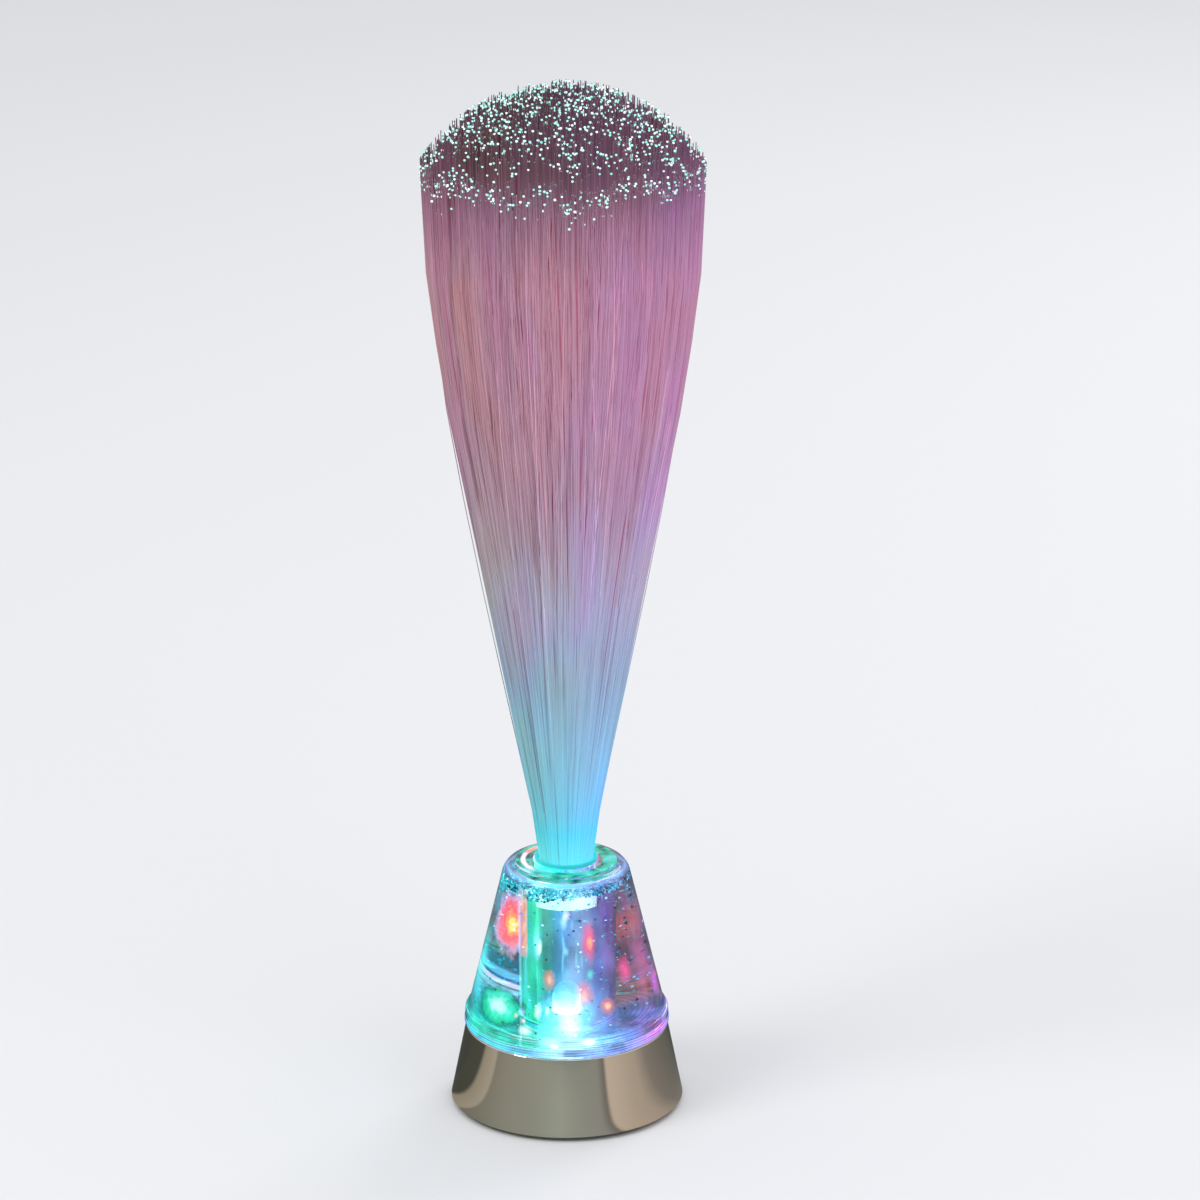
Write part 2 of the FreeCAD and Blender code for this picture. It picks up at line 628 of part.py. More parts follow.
# where a cell's button meets its plate; its other end rests on a spring
BUTTON_END = BOX_HALF_LENGTH - S.contact_thickness
for n, way in enumerate((1, -1, 1), start=1):
    cell = new_body(f"cell_{n}")
    revolve(
        cell,
        f"cell_{n}_form",
        [
            (ZERO, ZERO),
            (S.cell_radius - S.cell_edge, ZERO),
            (S.cell_radius, S.cell_edge),
            (S.cell_radius, CELL_BODY - S.cell_edge),
            (S.cell_radius - S.cell_edge, CELL_BODY),
            (S.cell_button_radius, CELL_BODY),
            (S.cell_button_radius, S.cell_length),
            (ZERO, S.cell_length),
        ],
    )
    cell.Placement.Rotation = FreeCAD.Rotation(FreeCAD.Vector(1, 0, 0), -90 * way)
    place(cell, S.cell_pitch * (n - 2), (BUTTON_END - S.cell_length) * way, CELL_AXIS)
    node(cell, f"battery_{n}")


# ----------------------------------------------------------------------------------------------------
# Battery contacts: stamped plates against the box's ends, two with solder tabs, and the cells' springs
# ----------------------------------------------------------------------------------------------------
def contact(name, first_cell, last_cell, way, tab):
    """A plate across the cells first to last (-1 to 1) at the rear (way 1) or front (way -1) end."""
    width = S.contact_width + S.cell_pitch * (last_cell - first_cell)
    middle = S.cell_pitch * ((first_cell + last_cell) / 2)
    low = CELL_AXIS - S.contact_height / 2
    along = TAB_ALONG * way
    plate = block(name + "_plate", width, S.contact_thickness, S.contact_height, middle, along, low)
    if not tab:
        return plate
    rise = ROOF_TOP + S.tab_rise - low
    solder_tab = block(name + "_tab", S.tab_width, S.contact_thickness, rise, middle, along, low)
    return fused(name + "_sheet", [plate, solder_tab])


node(contact("positive", 1, 1, 1, True), "positive_terminal")
node(contact("negative", -1, -1, -1, True), "negative_terminal")
node(contact("bridge_rear", -1, 0, 1, False), "bridge_contact_1")
node(contact("bridge_front", 0, 1, -1, False), "bridge_contact_2")

SPRING_TURNS = 4
SPRING_CORNERS = 12  # straight pieces of wire in a turn
SQUARE = ((-1, -1), (1, -1), (1, 1), (-1, 1), (-1, -1))
RIGHT_CORNERS = 1  # how a pipe goes round a corner of its path
ROUND_CORNERS = 2


def spring_shape():
    """A conical spring along +Z of square-drawn wire, bent in short straight pieces."""
    half = S.spring_wire.value / 2
    gap = S.spring_end_gap.value
    length = S.spring_length.value - 2 * (half + gap)
    wide, narrow = S.spring_base_radius.value, S.spring_tip_radius.value
    steps = SPRING_TURNS * SPRING_CORNERS
    points = []
    for step in range(steps + 1):
        share = step / steps
        turn = 2 * math.pi * step / SPRING_CORNERS
        reach = wide + (narrow - wide) * share
        up = half + gap + length * share
        points.append(FreeCAD.Vector(reach * math.cos(turn), reach * math.sin(turn), up))
    low = points[0].z
    section = Part.makePolygon([FreeCAD.Vector(wide + half * i, 0, low + half * j) for i, j in SQUARE])
    path = Part.Wire(Part.makePolygon(points))
    return path.makePipeShell([section], True, False, RIGHT_CORNERS)


springs = []
for n, way in enumerate((1, -1, 1), start=1):
    spring = doc.addObject("Part::Feature", f"spring_{n}")
    spring.Shape = spring_shape()
    spring.Placement.Rotation = FreeCAD.Rotation(FreeCAD.Vector(1, 0, 0), -90 * way)
    place(spring, S.cell_pitch * (n - 2), -BUTTON_END * way, CELL_AXIS)
    springs.append(spring)
node(group("spring_set", springs), "cell_springs")


# ----------------------------------------------------------------------------------------------------
# Circuit board with its diodes, controller and resistors
# ----------------------------------------------------------------------------------------------------
body = new_body("circuit_board")
pad(body, "board_disc", circles(body, "board_circle", [(ZERO, ZERO)], S.board_radius, BOARD_UNDER),
    S.board_thickness)
pocket(body, "board_holes", circles(body, "board_hole_circles", POSTS, S.screw_radius + S.door_clearance,
                                    BOARD_UNDER), S.board_thickness)
node(body, "circuit_board")

LED_ANGLES = {"led_red": 84, "led_green": 204, "led_blue": 324}  # degrees from +X towards +Y
DOME_SHARE = 0.96  # of a round end's radius, taken up by its dome
for name in ("led_centre", *LED_ANGLES):
    led = new_body(name)
    revolve(
        led,
        name + "_form",
        [
            (ZERO, ZERO),
            (S.led_flange_radius, ZERO),
            (S.led_flange_radius, S.led_flange_height),
            (S.led_radius, S.led_flange_height),
            (S.led_radius, S.led_height),
            (ZERO, S.led_height),
        ],
    )
    round_edges(led, name + "_dome", S.led_radius * DOME_SHARE, [(S.led_radius, S.led_height)])
    if name in LED_ANGLES:
        turn = f"{LED_ANGLES[name]} deg"
        led.setExpression("Placement.Base.x", f"Sizes.led_circle * cos({turn})")
        led.setExpression("Placement.Base.y", f"Sizes.led_circle * sin({turn})")
    bind(led, Placement__Base__z=BOARD_TOP)
    node(led, name)

node(block("chip_block", S.chip_width, S.chip_length, S.chip_height, ZERO, -S.led_circle, BOARD_TOP),
     "controller_chip")
RESISTOR_COUNT = 4
resistors = [
    block(f"resistor_{n}", S.resistor_length, S.resistor_width, S.resistor_height, -S.resistor_across,
          S.resistor_pitch * n, BOARD_TOP)
    for n in range(1, RESISTOR_COUNT + 1)
]
node(group("resistor_set", resistors), "resistors")


# ----------------------------------------------------------------------------------------------------
# Slide switch: a sheet metal can over the cover's slot, and the slider whose knob reaches down through it
# ----------------------------------------------------------------------------------------------------
can = block("switch_can", S.switch_width, S.switch_length, S.switch_height, S.switch_across, ZERO, COVER_TOP)
pins = [
    block(f"switch_pin_{n + 2}", S.switch_pin_width, S.switch_pin_length, S.switch_pin_rise + S.switch_wall,
          S.switch_across, S.switch_pin_pitch * n, COVER_TOP + S.switch_height - S.switch_wall)
    for n in (-1, 0, 1)
]
KNOB_CAVITY = S.knob_base_height + S.slide_clearance * 2
cavity = block("switch_cavity", S.switch_width - S.switch_wall * 2, S.switch_length - S.switch_wall * 2,
               KNOB_CAVITY, S.switch_across, ZERO, COVER_TOP)
node(cut("switch_can_open", fused("switch_can_with_pins", [can, *pins]), cavity), "switch_body")

slider_base = block("slider_base", S.switch_width - S.switch_wall * 2 - S.slide_clearance * 2,
                    S.knob_base_length, S.knob_base_height, S.switch_across, KNOB_REST,
                    COVER_TOP + S.slide_clearance)
knob_low = RIM + S.knob_sink
knob = block("slider_knob", S.knob_width, S.knob_length, COVER_TOP + S.slide_clearance - knob_low,
             S.switch_across, KNOB_REST, knob_low)
node(fused("slider", [slider_base, knob]), "switch_slider")


# ----------------------------------------------------------------------------------------------------
# Glitter vessel: a clear cone with a beaded flange, its glued floor, and the tube up its middle
# ----------------------------------------------------------------------------------------------------
def cone_radius(level):
    """Outside radius of the vessel's cone at a level."""
    return S.vessel_foot_radius - CONE_SLOPE * (level - FLANGE_TOP)


body = new_body("vessel")
bead = S.flange_height / 2
BEAD_EDGE = S.flange_groove
FLOOR_SEAT_RADIUS = cone_radius(FLOOR_TOP) - S.vessel_wall + S.flange_groove
revolve(
    body,
    "vessel_wall",
    [
        (S.flange_radius - BEAD_EDGE, S.base_height),
        (S.flange_radius, S.base_height + BEAD_EDGE),
        (S.flange_radius, S.base_height + bead - BEAD_EDGE),
        (S.flange_radius - S.flange_groove, S.base_height + bead),
        (S.flange_radius - BEAD_EDGE / 2, S.base_height + bead + BEAD_EDGE),
        (S.flange_radius - BEAD_EDGE / 2, FLANGE_TOP - BEAD_EDGE),
        (S.vessel_foot_radius, FLANGE_TOP),
        (S.vessel_top_radius, SHOULDER),
        (S.vessel_top_radius - S.shoulder_drop, VESSEL_TOP),
        (S.tube_flange_radius + S.glue_gap, VESSEL_TOP),
        (S.tube_flange_radius + S.glue_gap, TUBE_FLANGE_UNDER),
        (TUBE_RADIUS + S.glue_gap, TUBE_FLANGE_UNDER),
        (TUBE_RADIUS + S.glue_gap, TOP_UNDER),
        (cone_radius(TOP_UNDER) - S.vessel_wall, TOP_UNDER),
        (cone_radius(FLOOR_TOP) - S.vessel_wall, FLOOR_TOP),
        (FLOOR_SEAT_RADIUS, FLOOR_TOP),
        (FLOOR_SEAT_RADIUS, S.base_height),
    ],
)
round_edges(body, "vessel_shoulder", S.shoulder_radius, [(S.vessel_top_radius, SHOULDER)])
node(body, "vessel")

body = new_body("vessel_floor")
LENS_HOLE = S.lens_radius + S.lens_hole_gap
SPIGOT_RADIUS = S.deck_bore_radius - S.spigot_clearance
revolve(
    body,
    "floor_disc",
    [
        (LENS_HOLE, S.base_height),
        (SPIGOT_RADIUS - S.spigot_wall, S.base_height),
        (SPIGOT_RADIUS - S.spigot_wall, S.base_height - S.spigot_depth),
        (SPIGOT_RADIUS, S.base_height - S.spigot_depth),
        (SPIGOT_RADIUS, S.base_height),
        (FLOOR_SEAT_RADIUS - S.glue_gap, S.base_height),
        (FLOOR_SEAT_RADIUS - S.glue_gap, FLOOR_TOP),
        (LENS_HOLE, FLOOR_TOP),
    ],
)
PLUG_ANGLE = 144  # degrees from +X towards +Y
PLUG_ACROSS = S.plug_circle * Size(f"cos({PLUG_ANGLE} deg)", math.cos(math.radians(PLUG_ANGLE)))
PLUG_ALONG = S.plug_circle * Size(f"sin({PLUG_ANGLE} deg)", math.sin(math.radians(PLUG_ANGLE)))
pocket(body, "filling_hole",
       circles(body, "filling_circle", [(PLUG_ACROSS, PLUG_ALONG)], S.plug_radius + S.glue_gap,
               S.base_height), S.floor_thickness)
node(body, "vessel_floor")

plug = new_body("fill_plug")
revolve(
    plug,
    "plug_form",
    [
        (ZERO, -S.plug_head_height),
        (S.plug_head_radius, -S.plug_head_height),
        (S.plug_head_radius, ZERO),
        (S.plug_radius, ZERO),
        (S.plug_radius, S.floor_thickness),
        (ZERO, S.floor_thickness),
    ],
)
place(plug, PLUG_ACROSS, PLUG_ALONG, S.base_height)
node(plug, "fill_plug")

body = new_body("centre_tube")
revolve(
    body,
    "tube",
    [
        (S.tube_bore_radius, FLOOR_TOP),
        (TUBE_RADIUS, FLOOR_TOP),
        (TUBE_RADIUS, TUBE_FLANGE_UNDER),
        (S.tube_flange_radius, TUBE_FLANGE_UNDER),
        (S.tube_flange_radius, TUBE_FLANGE_TOP),
        (S.tube_bore_radius, TUBE_FLANGE_TOP),
    ],
)
round_edges(body, "tube_flange_edge", S.shell_edge, [(S.tube_flange_radius, TUBE_FLANGE_TOP)])
node(body, "centre_tube")

body = new_body("glitter_liquid")
liquid_low = FLOOR_TOP + S.liquid_gap
revolve(
    body,
    "liquid_ring",
    [
        (TUBE_RADIUS + S.liquid_gap, liquid_low),
        (cone_radius(liquid_low) - S.vessel_wall - S.liquid_gap, liquid_low),
        (cone_radius(LIQUID_TOP) - S.vessel_wall - S.liquid_gap, LIQUID_TOP),
        (TUBE_RADIUS + S.liquid_gap, LIQUID_TOP),
    ],
)
node(body, "glitter_liquid")


# ----------------------------------------------------------------------------------------------------
# Focusing lens: a clear bullet on the vessel's floor, over the centre diode
# ----------------------------------------------------------------------------------------------------
body = new_body("focus_lens")
lens_top = FLOOR_TOP + S.lens_height
revolve(
    body,
    "lens_form",
    [
        (ZERO, S.base_height),
        (S.lens_radius, S.base_height),
        (S.lens_radius, FLOOR_TOP),
        (S.lens_flange_radius, FLOOR_TOP),
        (S.lens_flange_radius, FLOOR_TOP + S.lens_flange_height),
        (S.lens_radius, FLOOR_TOP + S.lens_flange_height),
        (S.lens_radius, lens_top),
        (ZERO, lens_top),
    ],
)
round_edges(body, "lens_dome", S.lens_radius * DOME_SHARE, [(S.lens_radius, lens_top)])
node(body, "focus_lens")


# ----------------------------------------------------------------------------------------------------
# Fibres: the sleeve that binds them in the tube, and the spray as one soft trumpet with a domed top
# ----------------------------------------------------------------------------------------------------
body = new_body("fibre_ferrule")
revolve(
    body,
    "sleeve",
    [
        (FERRULE_BORE, FERRULE_UNDER),
        (FERRULE_RADIUS, FERRULE_UNDER),
        (FERRULE_RADIUS, FERRULE_TOP),
        (FERRULE_BORE, FERRULE_TOP),
    ],
)
node(body, "fibre_ferrule")


def tangent_arc(start, end, direction):
    """The arc from start to end that leaves start along direction; all in a sketch's plane."""
    chord = end - start
    across = FreeCAD.Vector(-direction.y, direction.x, 0)
    centre = start + across * (chord.dot(chord) / (2 * chord.dot(across)))
    radius = (start - centre).Length
    first = math.atan2(start.y - centre.y, start.x - centre.x)
    last = math.atan2(end.y - centre.y, end.x - centre.x)
    return Part.Circle(centre, FreeCAD.Vector(0, 0, 1), radius), first, last


body = new_body("fibre_spray")
# (radius, height) of the outline's corners, from the bundle's polished foot to the highest tip
SPRAY_CORNERS = [
    (ZERO, FERRULE_UNDER),
    (BUNDLE_RADIUS, FERRULE_UNDER),
    (BUNDLE_RADIUS, FERRULE_TOP),
    (S.spray_flare_radius, FERRULE_TOP + S.spray_flare_height),
    (S.spray_shoulder_radius, S.spray_height - S.spray_shoulder_height),
    (S.spray_rim_radius, S.spray_height - S.spray_rim_height),
    (ZERO, S.spray_height),
]
RUNS = ["foot", "bundle", "flare", "cone", "bulge", "crown", "axis"]  # from each corner to the next
FLARE, CONE, BULGE, CROWN = (RUNS.index(run) for run in ("flare", "cone", "bulge", "crown"))
spray = new_sketch(body, "spray_outline", "XZ_Plane")
corners = [FreeCAD.Vector(radius.value, height.value, 0) for radius, height in SPRAY_CORNERS]
cone_way = (corners[CONE + 1] - corners[CONE]).normalize()
flare_circle, flare_last, flare_first = tangent_arc(corners[CONE], corners[FLARE], cone_way)
bulge_circle, bulge_first, bulge_last = tangent_arc(corners[BULGE], corners[CROWN], cone_way)
crown_rise = corners[-1].y - corners[CROWN].y
crown_radius = (corners[CROWN].x**2 + crown_rise**2) / (2 * crown_rise)
crown_middle = FreeCAD.Vector(0, corners[-1].y - crown_radius, 0)
crown_first = math.atan2(corners[CROWN].y - crown_middle.y, corners[CROWN].x)
crown_circle = Part.Circle(crown_middle, FreeCAD.Vector(0, 0, 1), crown_radius)
arcs = {
    FLARE: Part.ArcOfCircle(flare_circle, flare_last, flare_first),
    BULGE: Part.ArcOfCircle(bulge_circle, bulge_first, bulge_last),
    CROWN: Part.ArcOfCircle(crown_circle, crown_first, math.pi / 2),
}
# an arc runs anticlockwise, so the flare, which curves the other way, starts at its upper end
ENDS = {FLARE: (2, 1)}
for i, corner in enumerate(corners):
    following = corners[(i + 1) % len(corners)]
    spray.addGeometry(arcs.get(i, Part.LineSegment(corner, following)))
for i in range(len(corners)):
    after = (i + 1) % len(corners)
    joint = "Tangent" if i in (FLARE, CONE) else "Coincident"
    meeting = (i, ENDS.get(i, (1, 2))[1], after, ENDS.get(after, (1, 2))[0])
    spray.addConstraint(Sketcher.Constraint(joint, *meeting))
spray.addConstraint(Sketcher.Constraint("PointOnObject", CROWN, 3, -2))
for i, (radius, height) in enumerate(SPRAY_CORNERS):
    hold(spray, i, ENDS.get(i, (1, 2))[0], radius, height)
trumpet = body.newObject("PartDesign::Revolution", "trumpet")
trumpet.Profile = spray
trumpet.ReferenceAxis = (spray, ["V_Axis"])
trumpet.Angle = 360
doc.recompute()
node(body, "fibre_spray")


# ----------------------------------------------------------------------------------------------------
# Leads: single wires that lie loosely between the box and the shell, bent in arcs from run to run
# ----------------------------------------------------------------------------------------------------
ARC_SHARE = 0.45  # of the shorter run, taken up by a bend
ROUTES = {
    "lead_positive": [
        (12.4, 24.7, 16.4), (18.6, 24.7, 16.4), (19.9, 15.6, 13.4), (27.0, 2.5, 13.2), (27.0, 2.5, 9.0),
    ],
    "lead_switch": [
        (27.0, 0.0, 9.0), (27.0, 0.0, 13.0), (22.0, -8.5, 12.6), (22.0, -8.5, 16.4),
    ],
    "lead_negative": [
        (-12.4, -24.7, 16.4), (-18.6, -24.7, 16.4), (-19.9, -15.6, 12.8), (-21.6, -7.6, 12.4),
        (-21.6, -7.6, 16.4),
    ],
}


def tube_along(points, radius):
    """A round wire along straight runs that are joined by tangent arcs."""
    corners = [FreeCAD.Vector(*point) for point in points]
    edges = []
    last = corners[0]
    radii = []
    for before, corner, after in zip(corners, corners[1:], corners[2:]):
        back, ahead = before - corner, after - corner
        reach = ARC_SHARE * min(back.Length, ahead.Length)
        back.normalize()
        ahead.normalize()
        half_turn = (math.pi - back.getAngle(ahead)) / 2
        radii.append(reach / math.tan(half_turn))
        entry, leave = corner + back * reach, corner + ahead * reach
        bisector = back + ahead
        bisector.normalize()
        middle = corner + bisector * (radii[-1] / math.cos(half_turn) - radii[-1])
        edges.append(Part.LineSegment(last, entry).toShape())
        edges.append(Part.Arc(entry, middle, leave).toShape())
        last = leave
    edges.append(Part.LineSegment(last, corners[-1]).toShape())
    path = Part.Wire(edges)
    first_run = corners[1] - corners[0]
    section = Part.Wire(Part.makeCircle(radius, corners[0], first_run))
    solid = path.makePipeShell([section], True, True, ROUND_CORNERS)
    print("wire", round(path.Length, 1), "mm, bends", [round(r, 1) for r in radii],
          "volume", round(solid.Volume / (path.Length * math.pi * radius**2), 4))
    return solid


for name, points in ROUTES.items():
    lead = doc.addObject("Part::Feature", name + "_wire")
    lead.Shape = tube_along(points, S.wire_radius.value)
    node(lead, name)


# ----------------------------------------------------------------------------------------------------
# Checks, then one STEP file for each sub-part
# ----------------------------------------------------------------------------------------------------
doc.recompute()
for item in doc.Objects:
    if "Invalid" in item.State or "Error" in item.State:
        raise RuntimeError(f"{item.Label} has failed: {item.State}")
for item in NODES:
    if item.Shape.isNull() or not item.Shape.isValid() or not item.Shape.Solids:
        raise RuntimeError(f"{item.Label} has no valid solid")
for item in NODES:
    item.Shape.exportStep(f"parts/{item.Label}.step")
print(len(NODES), "sub-parts")
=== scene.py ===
import math
import random

import bmesh
import bpy
import numpy as np
from mathutils import Matrix, Vector


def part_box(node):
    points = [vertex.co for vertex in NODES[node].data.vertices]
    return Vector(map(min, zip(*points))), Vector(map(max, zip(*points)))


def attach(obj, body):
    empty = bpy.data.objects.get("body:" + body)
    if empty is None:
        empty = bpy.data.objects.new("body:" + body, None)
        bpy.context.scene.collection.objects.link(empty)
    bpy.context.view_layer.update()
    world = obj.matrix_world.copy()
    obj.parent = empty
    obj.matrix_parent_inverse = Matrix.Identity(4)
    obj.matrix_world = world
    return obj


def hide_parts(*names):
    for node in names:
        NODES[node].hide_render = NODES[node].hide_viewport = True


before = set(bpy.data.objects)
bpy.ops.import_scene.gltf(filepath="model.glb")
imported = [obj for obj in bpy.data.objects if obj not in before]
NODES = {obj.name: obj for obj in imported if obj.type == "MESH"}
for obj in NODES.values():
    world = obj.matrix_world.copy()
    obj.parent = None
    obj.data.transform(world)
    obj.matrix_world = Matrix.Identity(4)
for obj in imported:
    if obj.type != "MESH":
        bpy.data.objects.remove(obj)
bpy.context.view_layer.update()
MM = 0.001


# ------------------------------------------------------------------
# Camera: a long lens, 1.7 m away to the front right, that looks down by 18 degrees and holds the whole
# height of the spray. Its place is measured from the middle of the footprint, in metres.
# ------------------------------------------------------------------
CAMERA_PLACE = Vector((0.6353, -1.4109, 0.6855))
CAMERA_FORWARD = Vector((-0.38342, 0.86818, -0.31505)).normalized()
CAMERA_RIGHT = Vector((0.91501, 0.40343, -0.00184)).normalized()
FOCAL_LENGTH = 153.24
SENSOR_WIDTH = 36.0

camera_up = CAMERA_RIGHT.cross(CAMERA_FORWARD)
camera = bpy.data.objects.new("camera", bpy.data.cameras.new("camera"))
camera.matrix_world = Matrix((CAMERA_RIGHT, camera_up, -CAMERA_FORWARD)).transposed().to_4x4()
camera.location = CAMERA_PLACE
camera.data.lens = FOCAL_LENGTH
camera.data.sensor_width = SENSOR_WIDTH
bpy.context.scene.collection.objects.link(camera)
bpy.context.scene.camera = camera


# ------------------------------------------------------------------
# Base shell: a moulded plastic cone, vacuum-metallised to a mirror. It stands on the cover's feet and
# carries the vessel; fingers leave faint smears and hairlines in the plating.
# ------------------------------------------------------------------
def add_node(tree, kind, **sockets):
    """A shader node with values or links on its named sockets; two underscores stand for a space."""
    item = tree.nodes.new(kind)
    feed(tree, item, **sockets)
    return item


def feed(tree, item, **sockets):
    """Gives a node's named sockets their values or links."""
    for name, value in sockets.items():
        join(tree, value, item.inputs[name.replace("__", " ")])


def join(tree, value, socket):
    """Links an output socket, or sets a number, a vector or a (red, green, blue) colour."""
    if isinstance(value, bpy.types.NodeSocket):
        tree.links.new(value, socket)
    else:
        socket.default_value = (*value, 1) if socket.type == "RGBA" else value


def compute(tree, operation, first, second=0.0):
    """One step of arithmetic; each side is a socket or a number."""
    item = tree.nodes.new("ShaderNodeMath")
    item.operation = operation
    join(tree, first, item.inputs[0])
    join(tree, second, item.inputs[1])
    return item.outputs[0]


def product(tree, value, *others):
    """Values multiplied together."""
    for other in others:
        value = compute(tree, "MULTIPLY", value, other)
    return value


def off(tree, value, middle):
    """How far a value is from the middle, either way."""
    return compute(tree, "ABSOLUTE", compute(tree, "SUBTRACT", value, middle))


def spread(tree, value, low, high, to_low=0.0, to_high=1.0):
    """Stretches a value's range low..high over to_low..to_high, and holds it there beyond."""
    item = add_node(tree, "ShaderNodeMapRange", Value=value, From__Min=low, From__Max=high,
                    To__Min=to_low, To__Max=to_high)
    return item.outputs["Result"]


def colour_band(tree, value, stops):
    """A colour ramp through (place, (red, green, blue)) stops."""
    item = add_node(tree, "ShaderNodeValToRGB", Fac=value)
    ramp = item.color_ramp
    ramp.elements.remove(ramp.elements[1])
    for i, (place, colour) in enumerate(stops):
        element = ramp.elements[0] if i == 0 else ramp.elements.new(place)
        element.position = place
        element.color = (*colour, 1)
    return item.outputs["Color"]


def mixed(tree, share, first, second, blend="MIX"):
    """Two colours mixed by a share; each is a socket or (red, green, blue)."""
    item = tree.nodes.new("ShaderNodeMix")
    item.data_type = "RGBA"
    item.blend_type = blend
    for name, value in (("Factor_Float", share), ("A_Color", first), ("B_Color", second)):
        socket = next(s for s in item.inputs if s.identifier == name)
        join(tree, value, socket)
    return next(s for s in item.outputs if s.identifier == "Result_Color")


def multiplied(tree, first, second):
    """Two colours multiplied."""
    return mixed(tree, 1.0, first, second, "MULTIPLY")


def object_point(tree):
    """The point that is shaded, in the object's own metres."""
    return tree.nodes.new("ShaderNodeTexCoord").outputs["Object"]


def coordinates(tree):
    """The object's own point as X, Y and Z."""
    return add_node(tree, "ShaderNodeSeparateXYZ", Vector=object_point(tree)).outputs


def stretched(tree, across, along, up):
    """The object's own point, with each axis scaled."""
    item = add_node(tree, "ShaderNodeMapping", Vector=object_point(tree), Scale=(across, along, up))
    return item.outputs["Vector"]


def noise(tree, point, scale, detail=3.0, roughness=0.5):
    """Soft clouds from 0 to 1."""
    item = add_node(tree, "ShaderNodeTexNoise", Vector=point, Scale=scale, Detail=detail,
                    Roughness=roughness)
    return item.outputs["Fac"]


def effect(name, inputs, outputs):
    """An empty node group with number inputs {name: default} and outputs {name: socket type}."""
    tree = bpy.data.node_groups.new(name, "ShaderNodeTree")
    for label, default in inputs.items():
        socket = tree.interface.new_socket(label, in_out="INPUT", socket_type="NodeSocketFloat")
        socket.default_value = default
    for label, kind in outputs.items():
        tree.interface.new_socket(label, in_out="OUTPUT", socket_type=kind)
    given = tree.nodes.new("NodeGroupInput").outputs
    result = tree.nodes.new("NodeGroupOutput").inputs
    return tree, given, result


def placed(tree, group, **sockets):
    """An effect inside a material, with its own values."""
    item = tree.nodes.new("ShaderNodeGroup")
    item.node_tree = group
    feed(tree, item, **sockets)
    return item.outputs


def material(name, **sockets):
    """A material and its tree; values go on the shader's own sockets."""
    made = bpy.data.materials.new(name)
    made.use_nodes = True
    shader = made.node_tree.nodes["Principled BSDF"]
    feed(made.node_tree, shader, **sockets)
    return made, made.node_tree, shader


def bumped(tree, shader, height, depth, strength):
    """A bumped surface; its depth is in millimetres."""
    bump = add_node(tree, "ShaderNodeBump", Height=height, Distance=depth * MM, Strength=strength)
    feed(tree, shader, Normal=bump.outputs["Normal"])


def paint(made, *names):
    """Gives CAD nodes their finish."""
    for name in names:
        mesh = NODES[name].data
        mesh.materials.clear()
        mesh.materials.append(made)


# fine hairlines and soft smears on hard polished surfaces
handling, given, result = effect(
    "handling_marks",
    {"Polish": 0.05, "Smears": 0.05, "Scale": 1.0},
    {"Roughness": "NodeSocketFloat", "Height": "NodeSocketFloat"},
)
smears = noise(handling, stretched(handling, 1, 1, 0.6), product(handling, given["Scale"], 45.0))
hairs = noise(handling, stretched(handling, 1, 1, 14), product(handling, given["Scale"], 150.0), 6)
smeared = product(handling, spread(handling, smears, 0.45, 0.75), given["Smears"])
handling.links.new(compute(handling, "ADD", given["Polish"], smeared), result["Roughness"])
handling.links.new(hairs, result["Height"])

plating, tree, shader = material("mirror_plating", Base__Color=(0.56, 0.54, 0.50), Metallic=1.0)
marks = placed(tree, handling, Polish=0.015, Smears=0.05)
feed(tree, shader, Roughness=marks["Roughness"])
bumped(tree, shader, marks["Height"], 0.02, 0.15)
paint(plating, "base_shell")


# ------------------------------------------------------------------
# Bottom cover, battery door and the switch's knob: moulded black plastic with a fine spark-eroded
# grain. The cover is screwed to the shell's bosses, the door closes its battery box, and the knob
# slides in its slot.
# ------------------------------------------------------------------
grain, given, result = effect(
    "moulded_grain",
    {"Size": 1.0, "Shine": 0.5},
    {"Roughness": "NodeSocketFloat", "Height": "NodeSocketFloat", "Dust": "NodeSocketFloat"},
)
cells = noise(grain, object_point(grain), compute(grain, "DIVIDE", 2600.0, given["Size"]), 2)
clouds = noise(grain, object_point(grain), 70.0, 4)
grain.links.new(cells, result["Height"])
grain.links.new(
    compute(grain, "ADD", given["Shine"], spread(grain, clouds, 0.3, 0.7, -0.06, 0.08)), result["Roughness"]
)
grain.links.new(spread(grain, clouds, 0.5, 0.8), result["Dust"])


def moulded(name, colour, dusty, size, shine, depth):
    """A moulded surface: its colour greyed a little by dust, and a fine grain, its depth in millimetres."""
    made, tree, shader = material(name)
    surface = placed(tree, grain, Size=size, Shine=shine)
    shown = mixed(tree, surface["Dust"], colour, dusty)
    feed(tree, shader, Base__Color=shown, Roughness=surface["Roughness"])
    bumped(tree, shader, surface["Height"], depth, 0.6)
    return made


paint(moulded("black_abs", (0.028, 0.028, 0.030), (0.045, 0.045, 0.047), 1.0, 0.42, 0.04),
      "bottom_cover", "battery_door")
paint(moulded("knob_plastic", (0.04, 0.04, 0.042), (0.06, 0.06, 0.06), 1.6, 0.5, 0.05), "switch_slider")


# ------------------------------------------------------------------
# Rubber feet: four moulded discs, glued into the cover's pockets over its screws.
# ------------------------------------------------------------------
paint(moulded("foot_rubber", (0.018, 0.018, 0.018), (0.05, 0.048, 0.045), 2.4, 0.78, 0.06), "rubber_feet")


